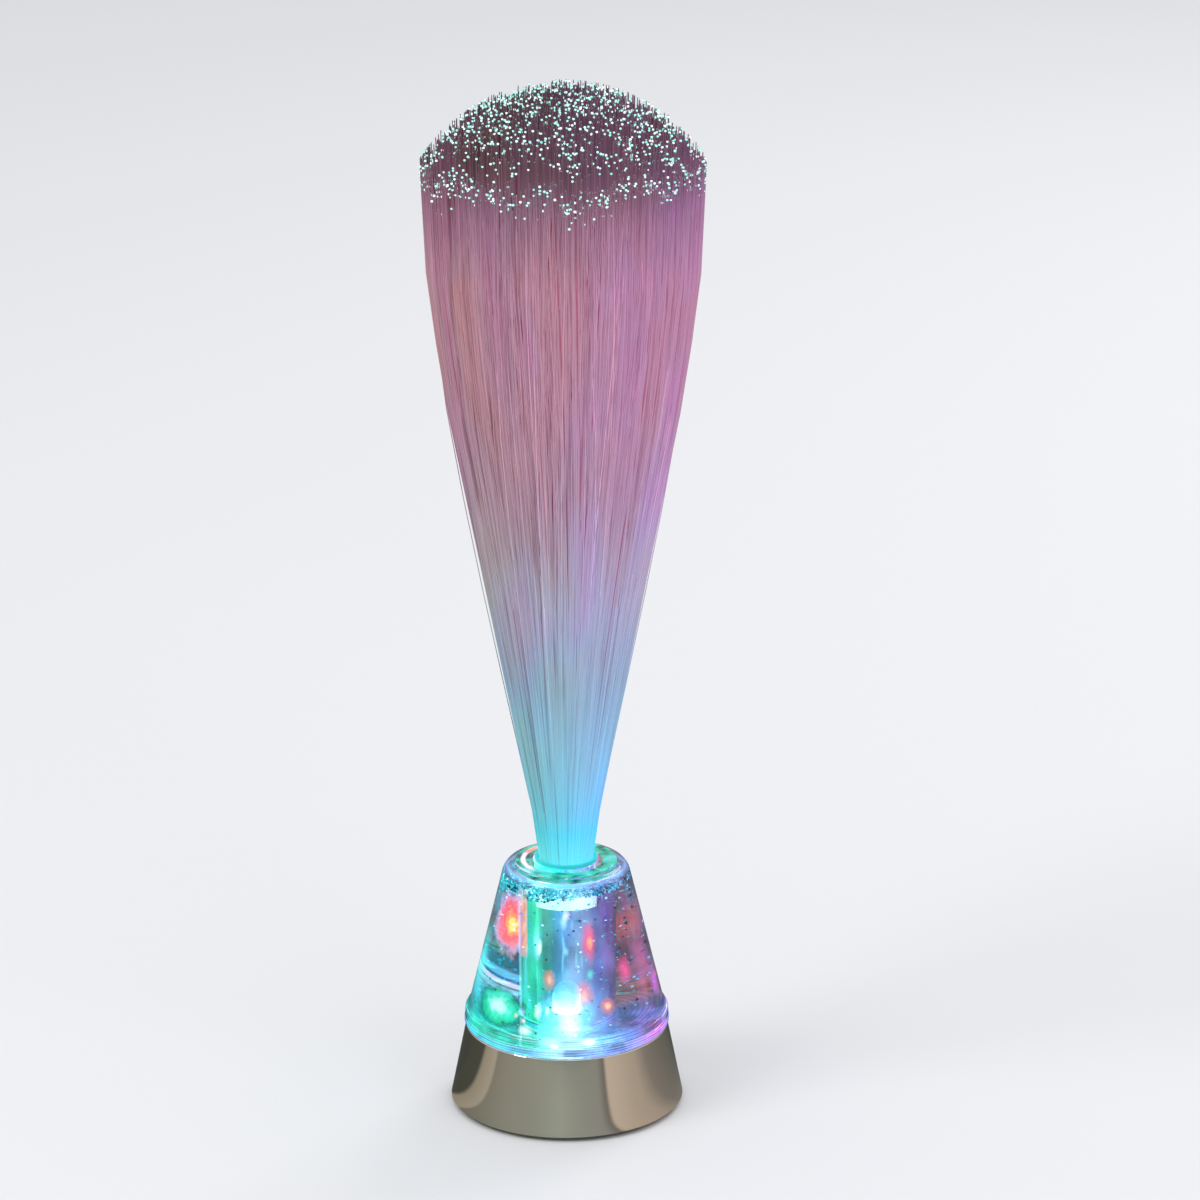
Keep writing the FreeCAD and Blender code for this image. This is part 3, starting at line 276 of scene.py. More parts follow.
# ------------------------------------------------------------------
# Metal parts: zinc-plated screws, the nickel-plated battery contacts and springs, and the switch's
# tinned can.
# ------------------------------------------------------------------
def worked_metal(name, colour, polish, smears):
    """A plain metal with finely scratched and smeared faces."""
    made, tree, shader = material(name, Base__Color=colour, Metallic=1.0)
    marks = placed(tree, handling, Polish=polish, Smears=smears, Scale=4.0)
    feed(tree, shader, Roughness=marks["Roughness"])
    bumped(tree, shader, marks["Height"], 0.03, 0.3)
    return made


paint(worked_metal("zinc_plate", (0.62, 0.61, 0.58), 0.28, 0.2),
      "cover_screws", "board_screws", "door_screw")
paint(worked_metal("nickel_plate", (0.68, 0.64, 0.57), 0.22, 0.2),
      "positive_terminal", "negative_terminal", "bridge_contact_1", "bridge_contact_2", "cell_springs")
paint(worked_metal("tin_plate", (0.60, 0.60, 0.61), 0.3, 0.25), "switch_body")


# ------------------------------------------------------------------
# Batteries: three small cells in plain green sleeves, which end short of the bare steel at both ends.
# ------------------------------------------------------------------
SLEEVE_GREEN = (0.02, 0.16, 0.07)
CAN_STEEL = (0.62, 0.62, 0.62)
BARE_END = 1.6
for number in (1, 2, 3):
    low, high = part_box(f"battery_{number}")
    made, tree, shader = material(f"cell_{number}_sleeve", Roughness=0.3)
    along = coordinates(tree)["Y"]
    middle, half = (low.y + high.y) / 2, (high.y - low.y) / 2 - BARE_END * MM
    bare = compute(tree, "GREATER_THAN", off(tree, along, middle), half)
    feed(tree, shader, Base__Color=mixed(tree, bare, SLEEVE_GREEN, CAN_STEEL), Metallic=bare)
    paint(made, f"battery_{number}")


# ------------------------------------------------------------------
# Circuit board: a round laminate under green lacquer, with its controller, resistors and four diodes.
# The middle diode is white; the others are red, green and blue.
# ------------------------------------------------------------------
made, tree, shader = material("board_lacquer", Roughness=0.35, Coat__Weight=0.4)
tracks = add_node(tree, "ShaderNodeTexVoronoi", Vector=object_point(tree), Scale=420.0)
tracks.feature = "DISTANCE_TO_EDGE"
line = spread(tree, tracks.outputs["Distance"], 0.02, 0.06)
feed(tree, shader, Base__Color=mixed(tree, line, (0.10, 0.36, 0.14), (0.02, 0.16, 0.06)))
paint(made, "circuit_board")
paint(moulded("chip_epoxy", (0.02, 0.02, 0.022), (0.04, 0.04, 0.04), 0.6, 0.5, 0.02), "controller_chip")
paint(moulded("resistor_glaze", (0.03, 0.03, 0.035), (0.5, 0.5, 0.5), 0.8, 0.3, 0.01), "resistors")

DIODE_LIGHTS = {
    "led_centre": (0.85, 0.97, 1.0),
    "led_red": (1.0, 0.09, 0.02),
    "led_green": (0.0, 1.0, 0.30),
    "led_blue": (0.05, 0.22, 1.0),
}
BLACK = (0, 0, 0)
WHITE = (1, 1, 1)
for name, light in DIODE_LIGHTS.items():
    made, tree, shader = material(name + "_epoxy", Base__Color=light, Roughness=0.1,
                                  Emission__Strength=14.0)
    low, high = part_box(name)
    # brightest over the die, dimmer at the flange
    shine = spread(tree, coordinates(tree)["Z"], low.z, high.z, 0.25, 1.0)
    feed(tree, shader, Emission__Color=mixed(tree, shine, BLACK, light))
    paint(made, name)


# ------------------------------------------------------------------
# Leads: three thin insulated wires from the battery box to the board and the switch.
# ------------------------------------------------------------------
for name, colour in {"lead_positive": (0.5, 0.02, 0.02), "lead_negative": (0.02, 0.02, 0.02),
                     "lead_switch": (0.8, 0.8, 0.76)}.items():
    paint(moulded(name + "_pvc", colour, colour, 1.0, 0.4, 0.01), name)


# ------------------------------------------------------------------
# Glitter vessel: a clear acrylic cone with a double-beaded flange, polished all over. Light from the
# diodes runs up its wall and out of its edges, green on one side, white in front and pink on the other.
# ------------------------------------------------------------------
LATHE_STEPS = 160


def lathe(name, corners, rounded=(), closed=True):
    """A piece turned round the upright axis from (radius, height) corners in millimetres. rounded holds
    (corner's number, radius) pairs. An open outline starts and ends on the axis."""
    bm = bmesh.new()
    ring = [bm.verts.new((radius * MM, 0, height * MM)) for radius, height in corners]
    for i in range(0 if closed else 1, len(ring)):
        bm.edges.new((ring[i - 1], ring[i]))
    for number, radius in rounded:
        bmesh.ops.bevel(bm, geom=[ring[number]], offset=radius * MM, offset_type="OFFSET", segments=5,
                        profile=0.5, affect="VERTICES", material=-1)
    bmesh.ops.spin(bm, geom=bm.verts[:] + bm.edges[:], cent=(0, 0, 0), axis=(0, 0, 1), angle=math.tau,
                   steps=LATHE_STEPS, use_merge=True)
    bmesh.ops.remove_doubles(bm, verts=bm.verts, dist=1e-7)
    bmesh.ops.recalc_face_normals(bm, faces=bm.faces)
    return finished(name, bm)


def finished(name, bm, sharp=38.0):
    """A bmesh made an object of the lamp, smooth but for edges sharper than the given angle."""
    mesh = bpy.data.meshes.new(name)
    bm.to_mesh(mesh)
    bm.free()
    mesh.shade_smooth()
    mesh.set_sharp_from_angle(angle=math.radians(sharp))
    piece = bpy.data.objects.new(name, mesh)
    bpy.context.scene.collection.objects.link(piece)
    return piece


def fit(piece, made, slot, *nodes):
    """The piece's finish, the body that it rides on and the nodes that it stands for."""
    piece.data.materials.append(made)
    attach(piece, "lamp")
    if nodes:
        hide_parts(*nodes)


def round_axis(tree):
    """The point's direction round the upright axis, from 0 to 1, its reach from the axis and its height."""
    point = coordinates(tree)
    turn = spread(tree, compute(tree, "ARCTAN2", point["Y"], point["X"]), -math.pi, math.pi)
    across, along = (compute(tree, "POWER", point[axis], 2.0) for axis in "XY")
    return turn, compute(tree, "SQRT", compute(tree, "ADD", across, along)), point["Z"]


# the diodes' light, by direction round the axis
around, _, result = effect("light_round_the_axis", {}, {"Color": "NodeSocketColor"})
around.links.new(
    colour_band(
        around,
        round_axis(around)[0],
        [
            (0.00, (0.04, 0.50, 0.50)),
            (0.07, (0.05, 0.56, 0.54)),
            (0.14, (0.03, 0.60, 0.38)),
            (0.20, (0.06, 0.60, 0.42)),
            (0.25, (0.08, 0.46, 0.38)),
            (0.29, (0.34, 0.66, 0.74)),
            (0.34, (0.55, 0.80, 0.92)),
            (0.39, (0.26, 0.46, 0.86)),
            (0.44, (0.32, 0.26, 0.74)),
            (0.50, (0.75, 0.12, 0.45)),
            (0.57, (0.36, 0.20, 0.70)),
            (0.70, (0.90, 0.10, 0.08)),
            (0.80, (0.80, 0.24, 0.18)),
            (0.92, (0.22, 0.36, 0.56)),
            (1.00, (0.03, 0.40, 0.42)),
        ],
    ),
    result["Color"],
)

# a soft-edged, slightly ragged ball of light about a point, in metres
spot, given, result = effect(
    "spot_of_light", {"X": 0.0, "Y": 0.0, "Z": 0.0, "Size": 0.01, "Tall": 1.0}, {"Mask": "NodeSocketFloat"}
)
point = coordinates(spot)
squares = 0.0
for axis in "XYZ":
    gap = compute(spot, "SUBTRACT", point[axis], given[axis])
    if axis == "Z":
        gap = compute(spot, "DIVIDE", gap, given["Tall"])
    squares = compute(spot, "ADD", product(spot, gap, gap), squares)
distance = compute(spot, "DIVIDE", compute(spot, "SQRT", squares), given["Size"])
ripples = noise(spot, object_point(spot), 260.0, 3, 0.6)
ragged = product(spot, compute(spot, "SUBTRACT", ripples, 0.5), 0.8)
spot.links.new(spread(spot, compute(spot, "ADD", distance, ragged), 1.0, 0.0), result["Mask"])


def spot_mask(tree, direction, radius, height, size, tall):
    """The mask of a ball of light: its direction in degrees, and its place and size in millimetres."""
    way = math.radians(direction)
    return placed(tree, spot, X=radius * math.cos(way) * MM, Y=radius * math.sin(way) * MM,
                  Z=height * MM, Size=size * MM, Tall=tall)["Mask"]


def with_spots(tree, glow, spots):
    """A glow with balls of light on it; each has what spot_mask takes, and then its colour."""
    for *ball, colour in spots:
        glow = mixed(tree, spot_mask(tree, *ball), glow, colour)
    return glow


low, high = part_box("vessel")
FLANGE_RADIUS = high.x / MM
UPPER_BEAD_RADIUS = 33.2
VESSEL_FLOOR = low.z / MM
VESSEL_TOP = high.z / MM
FLOOR_TOP = VESSEL_FLOOR + 2.5
FLOOR_RADIUS = 31.3
SEAT = VESSEL_TOP - 1.0
SEAT_RADIUS = 16.6
TUBE_HOLE = 12.1
CEILING = VESSEL_TOP - 2.0
INNER_TOP_RADIUS = 18.4
INNER_FOOT_RADIUS = 30.75
vessel = lathe(
    "vessel_acrylic",
    [
        (32.7, VESSEL_FLOOR),
        (FLANGE_RADIUS, VESSEL_FLOOR + 0.7),
        (FLANGE_RADIUS, VESSEL_FLOOR + 2.5),
        (32.6, VESSEL_FLOOR + 3.1),
        (UPPER_BEAD_RADIUS, VESSEL_FLOOR + 3.7),
        (UPPER_BEAD_RADIUS, VESSEL_FLOOR + 5.3),
        (32.0, VESSEL_FLOOR + 6.1),
        (20.45, VESSEL_TOP - 2.2),
        (18.2, VESSEL_TOP),
        (SEAT_RADIUS, VESSEL_TOP),
        (SEAT_RADIUS, SEAT),
        (TUBE_HOLE, SEAT),
        (TUBE_HOLE, CEILING),
        (INNER_TOP_RADIUS, CEILING),
        (INNER_FOOT_RADIUS, FLOOR_TOP),
        (FLOOR_RADIUS, FLOOR_TOP),
        (FLOOR_RADIUS, VESSEL_FLOOR),
    ],
    [(1, 0.5), (2, 0.5), (3, 0.25), (4, 0.35), (5, 0.5), (6, 1.0), (7, 1.2), (8, 1.0), (13, 1.6)],
)
acrylic, tree, shader = material("edge_lit_acrylic", Transmission__Weight=1.0, Roughness=0.0, IOR=1.49,
                                 Emission__Strength=1.0)
_, reach, height = round_axis(tree)
light = placed(tree, around)["Color"]
# painted light: fine bright lines run round the beads, with painted glints on them
LINE_PITCH = 0.75
lines = compute(tree, "SINE", product(tree, height, math.tau / (LINE_PITCH * MM)))
bead_glow = product(tree, spread(tree, lines, -0.1, 0.9, 0.01, 0.26),
                    spread(tree, height, (VESSEL_FLOOR + 7.0) * MM, (VESSEL_FLOOR + 5.4) * MM))
glints = spread(tree, noise(tree, stretched(tree, 1, 1, 3), 90.0, 2), 0.60, 0.68)
edges = mixed(tree, bead_glow, BLACK, mixed(tree, glints, light, (0.55, 0.80, 1.0)))
edges = mixed(tree, product(tree, bead_glow, glints), edges, WHITE)
# painted highlight: a thin lavender line along the shoulder's outer edge
shoulder_highlight = product(tree, spread(tree, height, (VESSEL_TOP - 3) * MM, (VESSEL_TOP - 1) * MM),
                   spread(tree, reach, 18.4 * MM, 19.4 * MM, 0.0, 0.5))
edges = mixed(tree, shoulder_highlight, edges, (0.35, 0.45, 1.0))
# painted highlights: two white glints on the upper bead
edges = with_spots(tree, edges, ((307, UPPER_BEAD_RADIUS, 32.6, 2.6, 0.5, (0.9, 1.0, 1.0)),
                                 (287, UPPER_BEAD_RADIUS, 31.4, 1.8, 0.5, (0.9, 1.0, 1.0))))
# the lower bead pipes blue light round its edge, and the green diode's light fills the wall on one side
low_bead = product(tree, spread(tree, reach, 32.5 * MM, 33.1 * MM),
                   spread(tree, height, (VESSEL_FLOOR + 3.2) * MM, (VESSEL_FLOOR + 2.6) * MM))
piped = product(tree, low_bead, spread(tree, lines, -0.2, 0.8, 0.12, 0.80))
edges = mixed(tree, piped, edges, (0.16, 0.32, 0.84))
green_side = spot_mask(tree, 206, 28.4, 47, 13.0, 1.5)
edges = mixed(tree, product(tree, green_side, 0.4), edges, (0.12, 0.66, 0.52))
# painted shade: the shoulder's clear colour is darkened to blue, and the lower bead's to violet
shaded_shoulder = spread(tree, height, (VESSEL_TOP - 5) * MM, (VESSEL_TOP - 2) * MM)
clear = mixed(tree, shaded_shoulder, (0.80, 0.90, 0.96), (0.42, 0.66, 0.84))
feed(tree, shader, Base__Color=mixed(tree, low_bead, clear, (0.36, 0.30, 0.52)), Emission__Color=edges)
fit(vessel, acrylic, "clear_acrylic", "vessel")


# ------------------------------------------------------------------
# Vessel floor and its plug: an acrylic disc with shallow turned rings, glued into the flange. It takes
# the diodes' light up into the liquid. The soft plug closes the filling hole.
# ------------------------------------------------------------------
RING_PITCH = 1.496
made, tree, shader = material("floor_acrylic", Base__Color=(0.3, 0.6, 0.65), Transmission__Weight=1.0,
                              Roughness=0.03, IOR=1.49, Emission__Strength=1.7)
rings = compute(tree, "SINE", product(tree, round_axis(tree)[1], math.tau / (RING_PITCH * MM)))
blots = noise(tree, object_point(tree), 120.0, 2)
share = product(tree, spread(tree, blots, 0.44, 0.62, 0.22, 1.0), spread(tree, rings, -1.0, 1.0, 0.4, 0.9))
feed(tree, shader, Emission__Color=mixed(tree, share, BLACK, placed(tree, around)["Color"]))
paint(made, "vessel_floor", "fill_plug")


# ------------------------------------------------------------------
# Centre tube: an acrylic tube with a flange, pushed down through the vessel's top and glued to its
# floor. It is full of air, and its wall carries streaks of the diodes' light.
# ------------------------------------------------------------------
TUBE_BORE = 10.3
TUBE_RADIUS = 12.0
FRONT = 294  # the direction, in degrees, in which the lens is seen through the walls
_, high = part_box("centre_tube")
TUBE_TOP = high.z / MM
tube = lathe(
    "centre_tube_acrylic",
    [
        (TUBE_BORE, FLOOR_TOP),
        (TUBE_RADIUS, FLOOR_TOP),
        (TUBE_RADIUS, SEAT),
        (high.x / MM, SEAT),
        (high.x / MM, TUBE_TOP),
        (TUBE_BORE, TUBE_TOP),
    ],
    [(4, 0.5)],
)
made, tree, shader = material("tube_acrylic", Transmission__Weight=1.0, Roughness=0.0, IOR=1.49,
                              Emission__Strength=2.8)
turn, reach, height = round_axis(tree)
bore_light = colour_band(
    tree,
    turn,
    [
        (0.02, (0.12, 0.44, 0.32)),
        (0.08, (0.28, 0.98, 0.50)),
        (0.12, (0.14, 0.96, 0.40)),
        (0.165, (0.01, 0.84, 0.24)),
        (0.22, (0.00, 0.56, 0.16)),
        (0.25, (0.00, 0.40, 0.20)),
        (0.275, (0.00, 0.30, 0.42)),
        (0.305, (0.00, 0.18, 0.44)),
        (0.34, (0.02, 0.10, 0.36)),
        (0.40, (0.10, 0.08, 0.29)),
        (0.50, (0.20, 0.07, 0.20)),
        (0.62, (0.14, 0.03, 0.04)),
        (0.80, (0.09, 0.05, 0.05)),
        (0.95, (0.03, 0.12, 0.12)),
    ],
)
in_bore = compute(tree, "LESS_THAN", reach, (TUBE_BORE + 0.5) * MM)
in_flange = product(tree, spread(tree, height, (TUBE_TOP - 1.9) * MM, (TUBE_TOP - 1.6) * MM),
                    compute(tree, "SUBTRACT", 1.0, in_bore))
# painted shade: the acrylic's clear colour is darkened in the flange and the bore, and kept clear where the
# lens is seen
tint_and_shade = mixed(tree, in_flange, (0.82, 0.94, 0.96), (0.22, 0.50, 0.48))
tint_and_shade = mixed(tree, in_bore, tint_and_shade, (0.26, 0.52, 0.56))
before_lens = spread(tree, spot_mask(tree, FRONT, TUBE_BORE, 34, 9.0, 1.2), 0.0, 0.4)
tint_and_shade = mixed(tree, before_lens, tint_and_shade, (0.85, 0.95, 1.0))
streaks = noise(tree, stretched(tree, 1, 1, 0.14), 260.0, 3)
patches = noise(tree, object_point(tree), 75.0, 1)
shine = product(tree, spread(tree, streaks, 0.36, 0.62, 0.45, 1.0),
                spread(tree, patches, 0.38, 0.62, 0.55, 1.0))
glow = mixed(tree, product(tree, shine, in_bore), BLACK, bore_light)
# where the lens is seen, the painted light on the bore gives way to a faint dark teal
glow = mixed(tree, before_lens, glow, (0.01, 0.07, 0.10))
sparks = product(tree, spread(tree, streaks, 0.62, 0.70), in_bore)
glow = mixed(tree, sparks, glow, (0.25, 0.80, 0.75))
# the flange is lit green from below, with flecks, and a C of pink light runs round one side of it
RING_OF_LIGHT = 14.0
clouds = noise(tree, object_point(tree), 190.0, 3)
flange_light = colour_band(tree, clouds, [(0.40, (0.00, 0.00, 0.01)), (0.46, (0.00, 0.05, 0.03)),
                                          (0.56, (0.01, 0.10, 0.06)), (0.66, (0.03, 0.11, 0.11))])
glow = mixed(tree, in_flange, glow, flange_light)
off_ring = off(tree, reach, RING_OF_LIGHT * MM)
arc = colour_band(tree, turn, [(0.00, WHITE), (0.16, WHITE), (0.19, BLACK), (0.88, BLACK), (0.91, WHITE)])
pink = mixed(tree, spread(tree, turn, 0.9, 0.95), (0.33, 0.15, 0.21), (0.42, 0.05, 0.04))
glow = mixed(tree, product(tree, spread(tree, off_ring, 1.0 * MM, 0.4 * MM), in_flange, arc), glow, pink)
# bright streaks, the red diode's ghost and the green one's
glow = with_spots(tree, glow, (
    (246, TUBE_BORE, 57, 1.5, 5.0, (0.85, 1.0, 0.95)),
    (290, TUBE_BORE, 66, 1.2, 2.4, (0.8, 0.9, 1.0)),
    (293, TUBE_BORE, 56, 1.0, 2.0, (0.6, 0.9, 1.0)),
    (330, TUBE_BORE, 59, 1.6, 4.4, (1.0, 0.10, 0.12)),
    (330, TUBE_BORE, 59, 0.9, 1.6, (1.0, 0.50, 0.10)),
    (331, TUBE_BORE, 47, 1.4, 1.6, (0.1, 0.9, 0.4)),
))
feed(tree, shader, Base__Color=tint_and_shade, Emission__Color=glow)
fit(tube, made, "clear_acrylic", "centre_tube")


# ------------------------------------------------------------------
# Focusing lens: a clear bullet on the floor, over the white diode, so full of its light that it glows.
# ------------------------------------------------------------------
LENS_RADIUS = 4.9
made, tree, shader = material("lens_acrylic", Base__Color=(0.3, 0.5, 0.6), Roughness=0.05, IOR=1.49,
                              Emission__Strength=5.0)
low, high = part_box("focus_lens")
_, reach, height = round_axis(tree)
bullet_light = colour_band(
    tree,
    spread(tree, height, low.z, high.z),
    [(0.15, (0.9, 1.0, 1.0)), (0.5, WHITE), (0.66, (0.62, 0.70, 0.71)), (0.8, (0.30, 0.37, 0.39)),
     (1.0, (0.15, 0.22, 0.25))],
)
on_flange = spread(tree, reach, (LENS_RADIUS + 0.1) * MM, (LENS_RADIUS + 0.6) * MM)
feed(tree, shader, Emission__Color=mixed(tree, on_flange, bullet_light, (0.01, 0.10, 0.16)))
paint(made, "focus_lens")


# ------------------------------------------------------------------
# Liquid: clear and slightly tinted, with a little air left over it; its colour is darkened further as
# painted shade. It wets the walls, and creeps up them a little at its surface.
# ------------------------------------------------------------------
_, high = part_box("glitter_liquid")
LIQUID_TOP = high.z / MM
WETTED = 0.06
WALL_SLOPE = (INNER_FOOT_RADIUS - INNER_TOP_RADIUS) / (CEILING - FLOOR_TOP)


def inner_wall(height):
    """Radius of the vessel's inner wall at a height."""
    return INNER_FOOT_RADIUS - WALL_SLOPE * (height - FLOOR_TOP)


liquid = lathe(
    "glitter_water",
    [
        (TUBE_RADIUS - WETTED, FLOOR_TOP - WETTED),
        (inner_wall(FLOOR_TOP) + WETTED, FLOOR_TOP - WETTED),
        (inner_wall(LIQUID_TOP) + WETTED, LIQUID_TOP),
        (inner_wall(LIQUID_TOP) - 1.2, LIQUID_TOP - 0.7),
        (TUBE_RADIUS + 1.2, LIQUID_TOP - 0.7),
        (TUBE_RADIUS - WETTED, LIQUID_TOP),
    ],
    [(3, 0.5), (4, 0.5)],
)
made, tree, shader = material("tinted_water", Transmission__Weight=1.0, Roughness=0.0, IOR=1.33,
                              Emission__Strength=1.2)
light = placed(tree, around)["Color"]
point = coordinates(tree)
turn = round_axis(tree)[0]
# painted shade: the liquid's colour darkens towards the floor, and is kept clear where the lens is seen
depth = spread(tree, point["Z"], LIQUID_TOP * MM, FLOOR_TOP * MM)
tint_and_shade = colour_band(tree, depth, [(0.00, (0.34, 0.44, 0.56)), (0.45, (0.22, 0.34, 0.46)),
                                 (0.80, (0.10, 0.34, 0.42)), (1.00, (0.07, 0.36, 0.36))])
before_lens = spread(tree, spot_mask(tree, FRONT, inner_wall(35), 35, 11.0, 1.3), 0.0, 0.4)
tint_and_shade = mixed(tree, before_lens, tint_and_shade, (0.85, 0.95, 1.0))
haze = spread(tree, noise(tree, stretched(tree, 1, 1, 0.6), 85.0, 2), 0.42, 0.68, 0.06, 0.45)
glow = mixed(tree, haze, BLACK, light)
# the way to one side of the lamp; the tube's edge is seen through the liquid this far along it
SIDE = math.radians(FRONT - 90)
TUBE_EDGE = 14.4
aside = compute(tree, "ADD", product(tree, point["X"], math.cos(SIDE)),
                product(tree, point["Y"], math.sin(SIDE)))
clear_of_tube = spread(tree, aside, (TUBE_EDGE - 0.2) * MM, (TUBE_EDGE + 0.2) * MM)
over_edge = spread(tree, aside, (TUBE_EDGE - 2.4) * MM, (TUBE_EDGE - 2.0) * MM)
# the floor's edge, mirrored in the wall: a dark zone, a blue line, a pale band and a dull one
clear_side = product(tree, clear_of_tube, 0.85)
for level, thickness, colour in (
    (53.6, 2.6, (0.00, 0.10, 0.15)),
    (50.3, 1.3, (0.08, 0.42, 0.68)),
    (48.7, 0.4, (0.00, 0.06, 0.25)),
    (47.4, 0.9, (0.50, 0.55, 0.68)),
    (45.4, 0.9, (0.16, 0.42, 0.52)),
):
    off_line = off(tree, point["Z"], level * MM)
    on_line = product(tree, spread(tree, off_line, thickness * MM, 0.6 * thickness * MM), clear_side)
    tint_and_shade = mixed(tree, on_line, tint_and_shade, colour)
    glow = mixed(tree, on_line, glow, colour)
# the red diode's ghost over the tube's edge: dark round it, then lavender, red and a yellow heart
ghost = spot_mask(tree, 244, 22.2, 66.5, 11.5, 1.1)
beside = product(tree, ghost, clear_of_tube)
tint_and_shade = mixed(tree, spread(tree, beside, 0.0, 0.08, 0.0, 0.85), tint_and_shade, (0.04, 0.07, 0.13))
tint_and_shade = mixed(tree, spread(tree, beside, 0.08, 0.16), tint_and_shade, (0.42, 0.34, 0.50))
glow = mixed(tree, spread(tree, beside, 0.1, 0.4), glow,
             colour_band(tree, beside, [(0.10, (0.40, 0.34, 0.58)), (0.30, (0.62, 0.40, 0.62)),
                                        (0.42, (0.78, 0.16, 0.20)), (0.60, (0.82, 0.07, 0.05)),
                                        (0.78, (1.00, 0.30, 0.04)), (0.90, (1.00, 0.75, 0.12))]))
# inside the tube's edge it goes on as a strip of orange and rose
strip = product(tree, spread(tree, ghost, 0.0, 0.25), compute(tree, "SUBTRACT", over_edge, clear_of_tube))
embers = colour_band(tree, noise(tree, stretched(tree, 1, 1, 0.5), 330.0, 1),
                     [(0.40, (0.55, 0.16, 0.30)), (0.50, (0.85, 0.22, 0.12)), (0.60, (0.80, 0.40, 0.42))])
tint_and_shade = mixed(tree, strip, tint_and_shade, (0.20, 0.04, 0.04))
glow = mixed(tree, product(tree, strip, 0.9), glow, embers)
# painted light: a line along the tube's edge on this side, blue-grey, and lavender near the red ghost
this_side = colour_band(tree, turn, [(0.02, BLACK), (0.08, WHITE), (0.25, WHITE), (0.30, BLACK)])
on_edge = product(tree, spread(tree, off(tree, aside, TUBE_EDGE * MM), 0.5 * MM, 0.2 * MM), this_side)
edge_colour = mixed(tree, spread(tree, ghost, 0.02, 0.3), (0.22, 0.40, 0.52), (0.60, 0.34, 0.72))
glow = mixed(tree, product(tree, on_edge, 0.6), glow, edge_colour)
# the green diode's ghost low on the same side, with a dark rim and a pale heart
ghost = spot_mask(tree, 245, 28.6, 39.5, 11.5, 0.62)
tint_and_shade = mixed(tree, spread(tree, ghost, 0.0, 0.12, 0.0, 0.9), tint_and_shade, (0.005, 0.05, 0.05))
glow = mixed(tree, spread(tree, ghost, 0.12, 0.3), glow,
             colour_band(tree, ghost, [(0.12, (0.00, 0.08, 0.05)), (0.30, (0.00, 0.40, 0.15)),
                                       (0.60, (0.05, 0.70, 0.38)), (0.85, (0.55, 1.00, 0.90))]))
# smaller ghosts and glints, as spot_mask takes them, with their colours; the liquid is darker at each
for *ball, colour in (
    (312, 22.5, 63, 3.2, 2.6, (0.9, 0.05, 0.12)),
    (306, 26.6, 46.5, 3.6, 1.5, (1.0, 0.16, 0.14)),
    (322, 27.8, 42, 2.8, 1.2, (1.0, 0.22, 0.06)),
    (340, 25.0, 52, 3.6, 1.6, (0.85, 0.08, 0.3)),
    (268, 29.6, 34.3, 2.6, 0.8, (0.95, 1.0, 1.0)),
    (266, 28.8, 37.4, 1.1, 1.0, (0.9, 0.45, 0.55)),
    (264, 28.4, 40.0, 1.5, 1.0, (0.45, 0.50, 0.85)),
    (260, 28.6, 38.5, 1.0, 1.0, (0.9, 0.55, 0.3)),
    (211, 26.5, 50, 5.0, 3.4, (0.05, 0.70, 0.72)),
    (306, 26.6, 46, 1.7, 1.6, (1.0, 0.62, 0.38)),
    (322, 27.8, 42, 1.3, 1.2, (1.0, 0.70, 0.42)),
    (313, 22.5, 62.5, 1.4, 1.9, (1.0, 0.42, 0.14)),
    (282, 25.3, 50.9, 2.4, 1.7, (1.0, 0.16, 0.10)),
    (282, 25.3, 51.0, 1.1, 1.8, (1.0, 0.50, 0.30)),
    (294, 20.8, 72.0, 1.4, 1.6, (0.88, 0.80, 0.95)),
    (273, 23.2, 60.5, 0.9, 5.0, (0.90, 1.0, 0.95)),
    (275.5, 28.0, 41.0, 1.6, 2.2, (0.92, 1.0, 1.0)),
    (281.5, 28.0, 41.5, 0.9, 2.6, (0.80, 1.0, 0.92)),
    (296, 28.6, 38.4, 4.4, 1.3, (0.92, 1.0, 1.0)),
    (150, 24.0, 58, 6.0, 1.4, (0.9, 0.25, 0.1)),
    (95, 25.0, 50, 7.0, 1.3, (1.0, 0.12, 0.05)),
    (40, 24.0, 60, 6.0, 1.4, (0.3, 0.15, 0.9)),
    (15, 27.5, 42, 5.0, 0.9, (0.6, 0.1, 0.8)),
):
    mask = spot_mask(tree, *ball)
    glow = mixed(tree, mask, glow, colour)
    tint_and_shade = mixed(tree, product(tree, mask, 0.7), tint_and_shade, (0.03, 0.04, 0.05))
feed(tree, shader, Base__Color=tint_and_shade, Emission__Color=glow)
fit(liquid, made, "glitter_fluid", "glitter_liquid")


# ------------------------------------------------------------------
# Glitter: metallised film punched into small hexagons. Most of it floats in a thick ring at the
# liquid's surface, and the rest drifts, catching the light or showing dark.
# ------------------------------------------------------------------
dice = random.Random(34)
FLOATING = 2900
DRIFTING = 520
FLAKE_RADIUS = 0.47
FLAKE_THICKNESS = 0.05
FLAKE_CLEARANCE = 0.6
PILE_SIDE = math.radians(214)
PILE_DEPTH = 3.0

flake = bmesh.new()
bmesh.ops.create_circle(flake, cap_ends=True, segments=6, radius=FLAKE_RADIUS * MM)
raised = bmesh.ops.extrude_face_region(flake, geom=flake.faces[:])
bmesh.ops.translate(flake, verts=[v for v in raised["geom"] if isinstance(v, bmesh.types.BMVert)],
                    vec=(0, 0, FLAKE_THICKNESS * MM))
bmesh.ops.recalc_face_normals(flake, faces=flake.faces)


def scatter(seed, places):
    """One bmesh of copies of a small bmesh, each moved by its matrix."""
    whole = bmesh.new()
    carrier = bpy.data.meshes.new("carrier")
    for place in places:
        one = seed.copy()
        bmesh.ops.transform(one, matrix=place, verts=one.verts)
        one.to_mesh(carrier)
        one.free()
        whole.from_mesh(carrier)
    bpy.data.meshes.remove(carrier)
    return whole


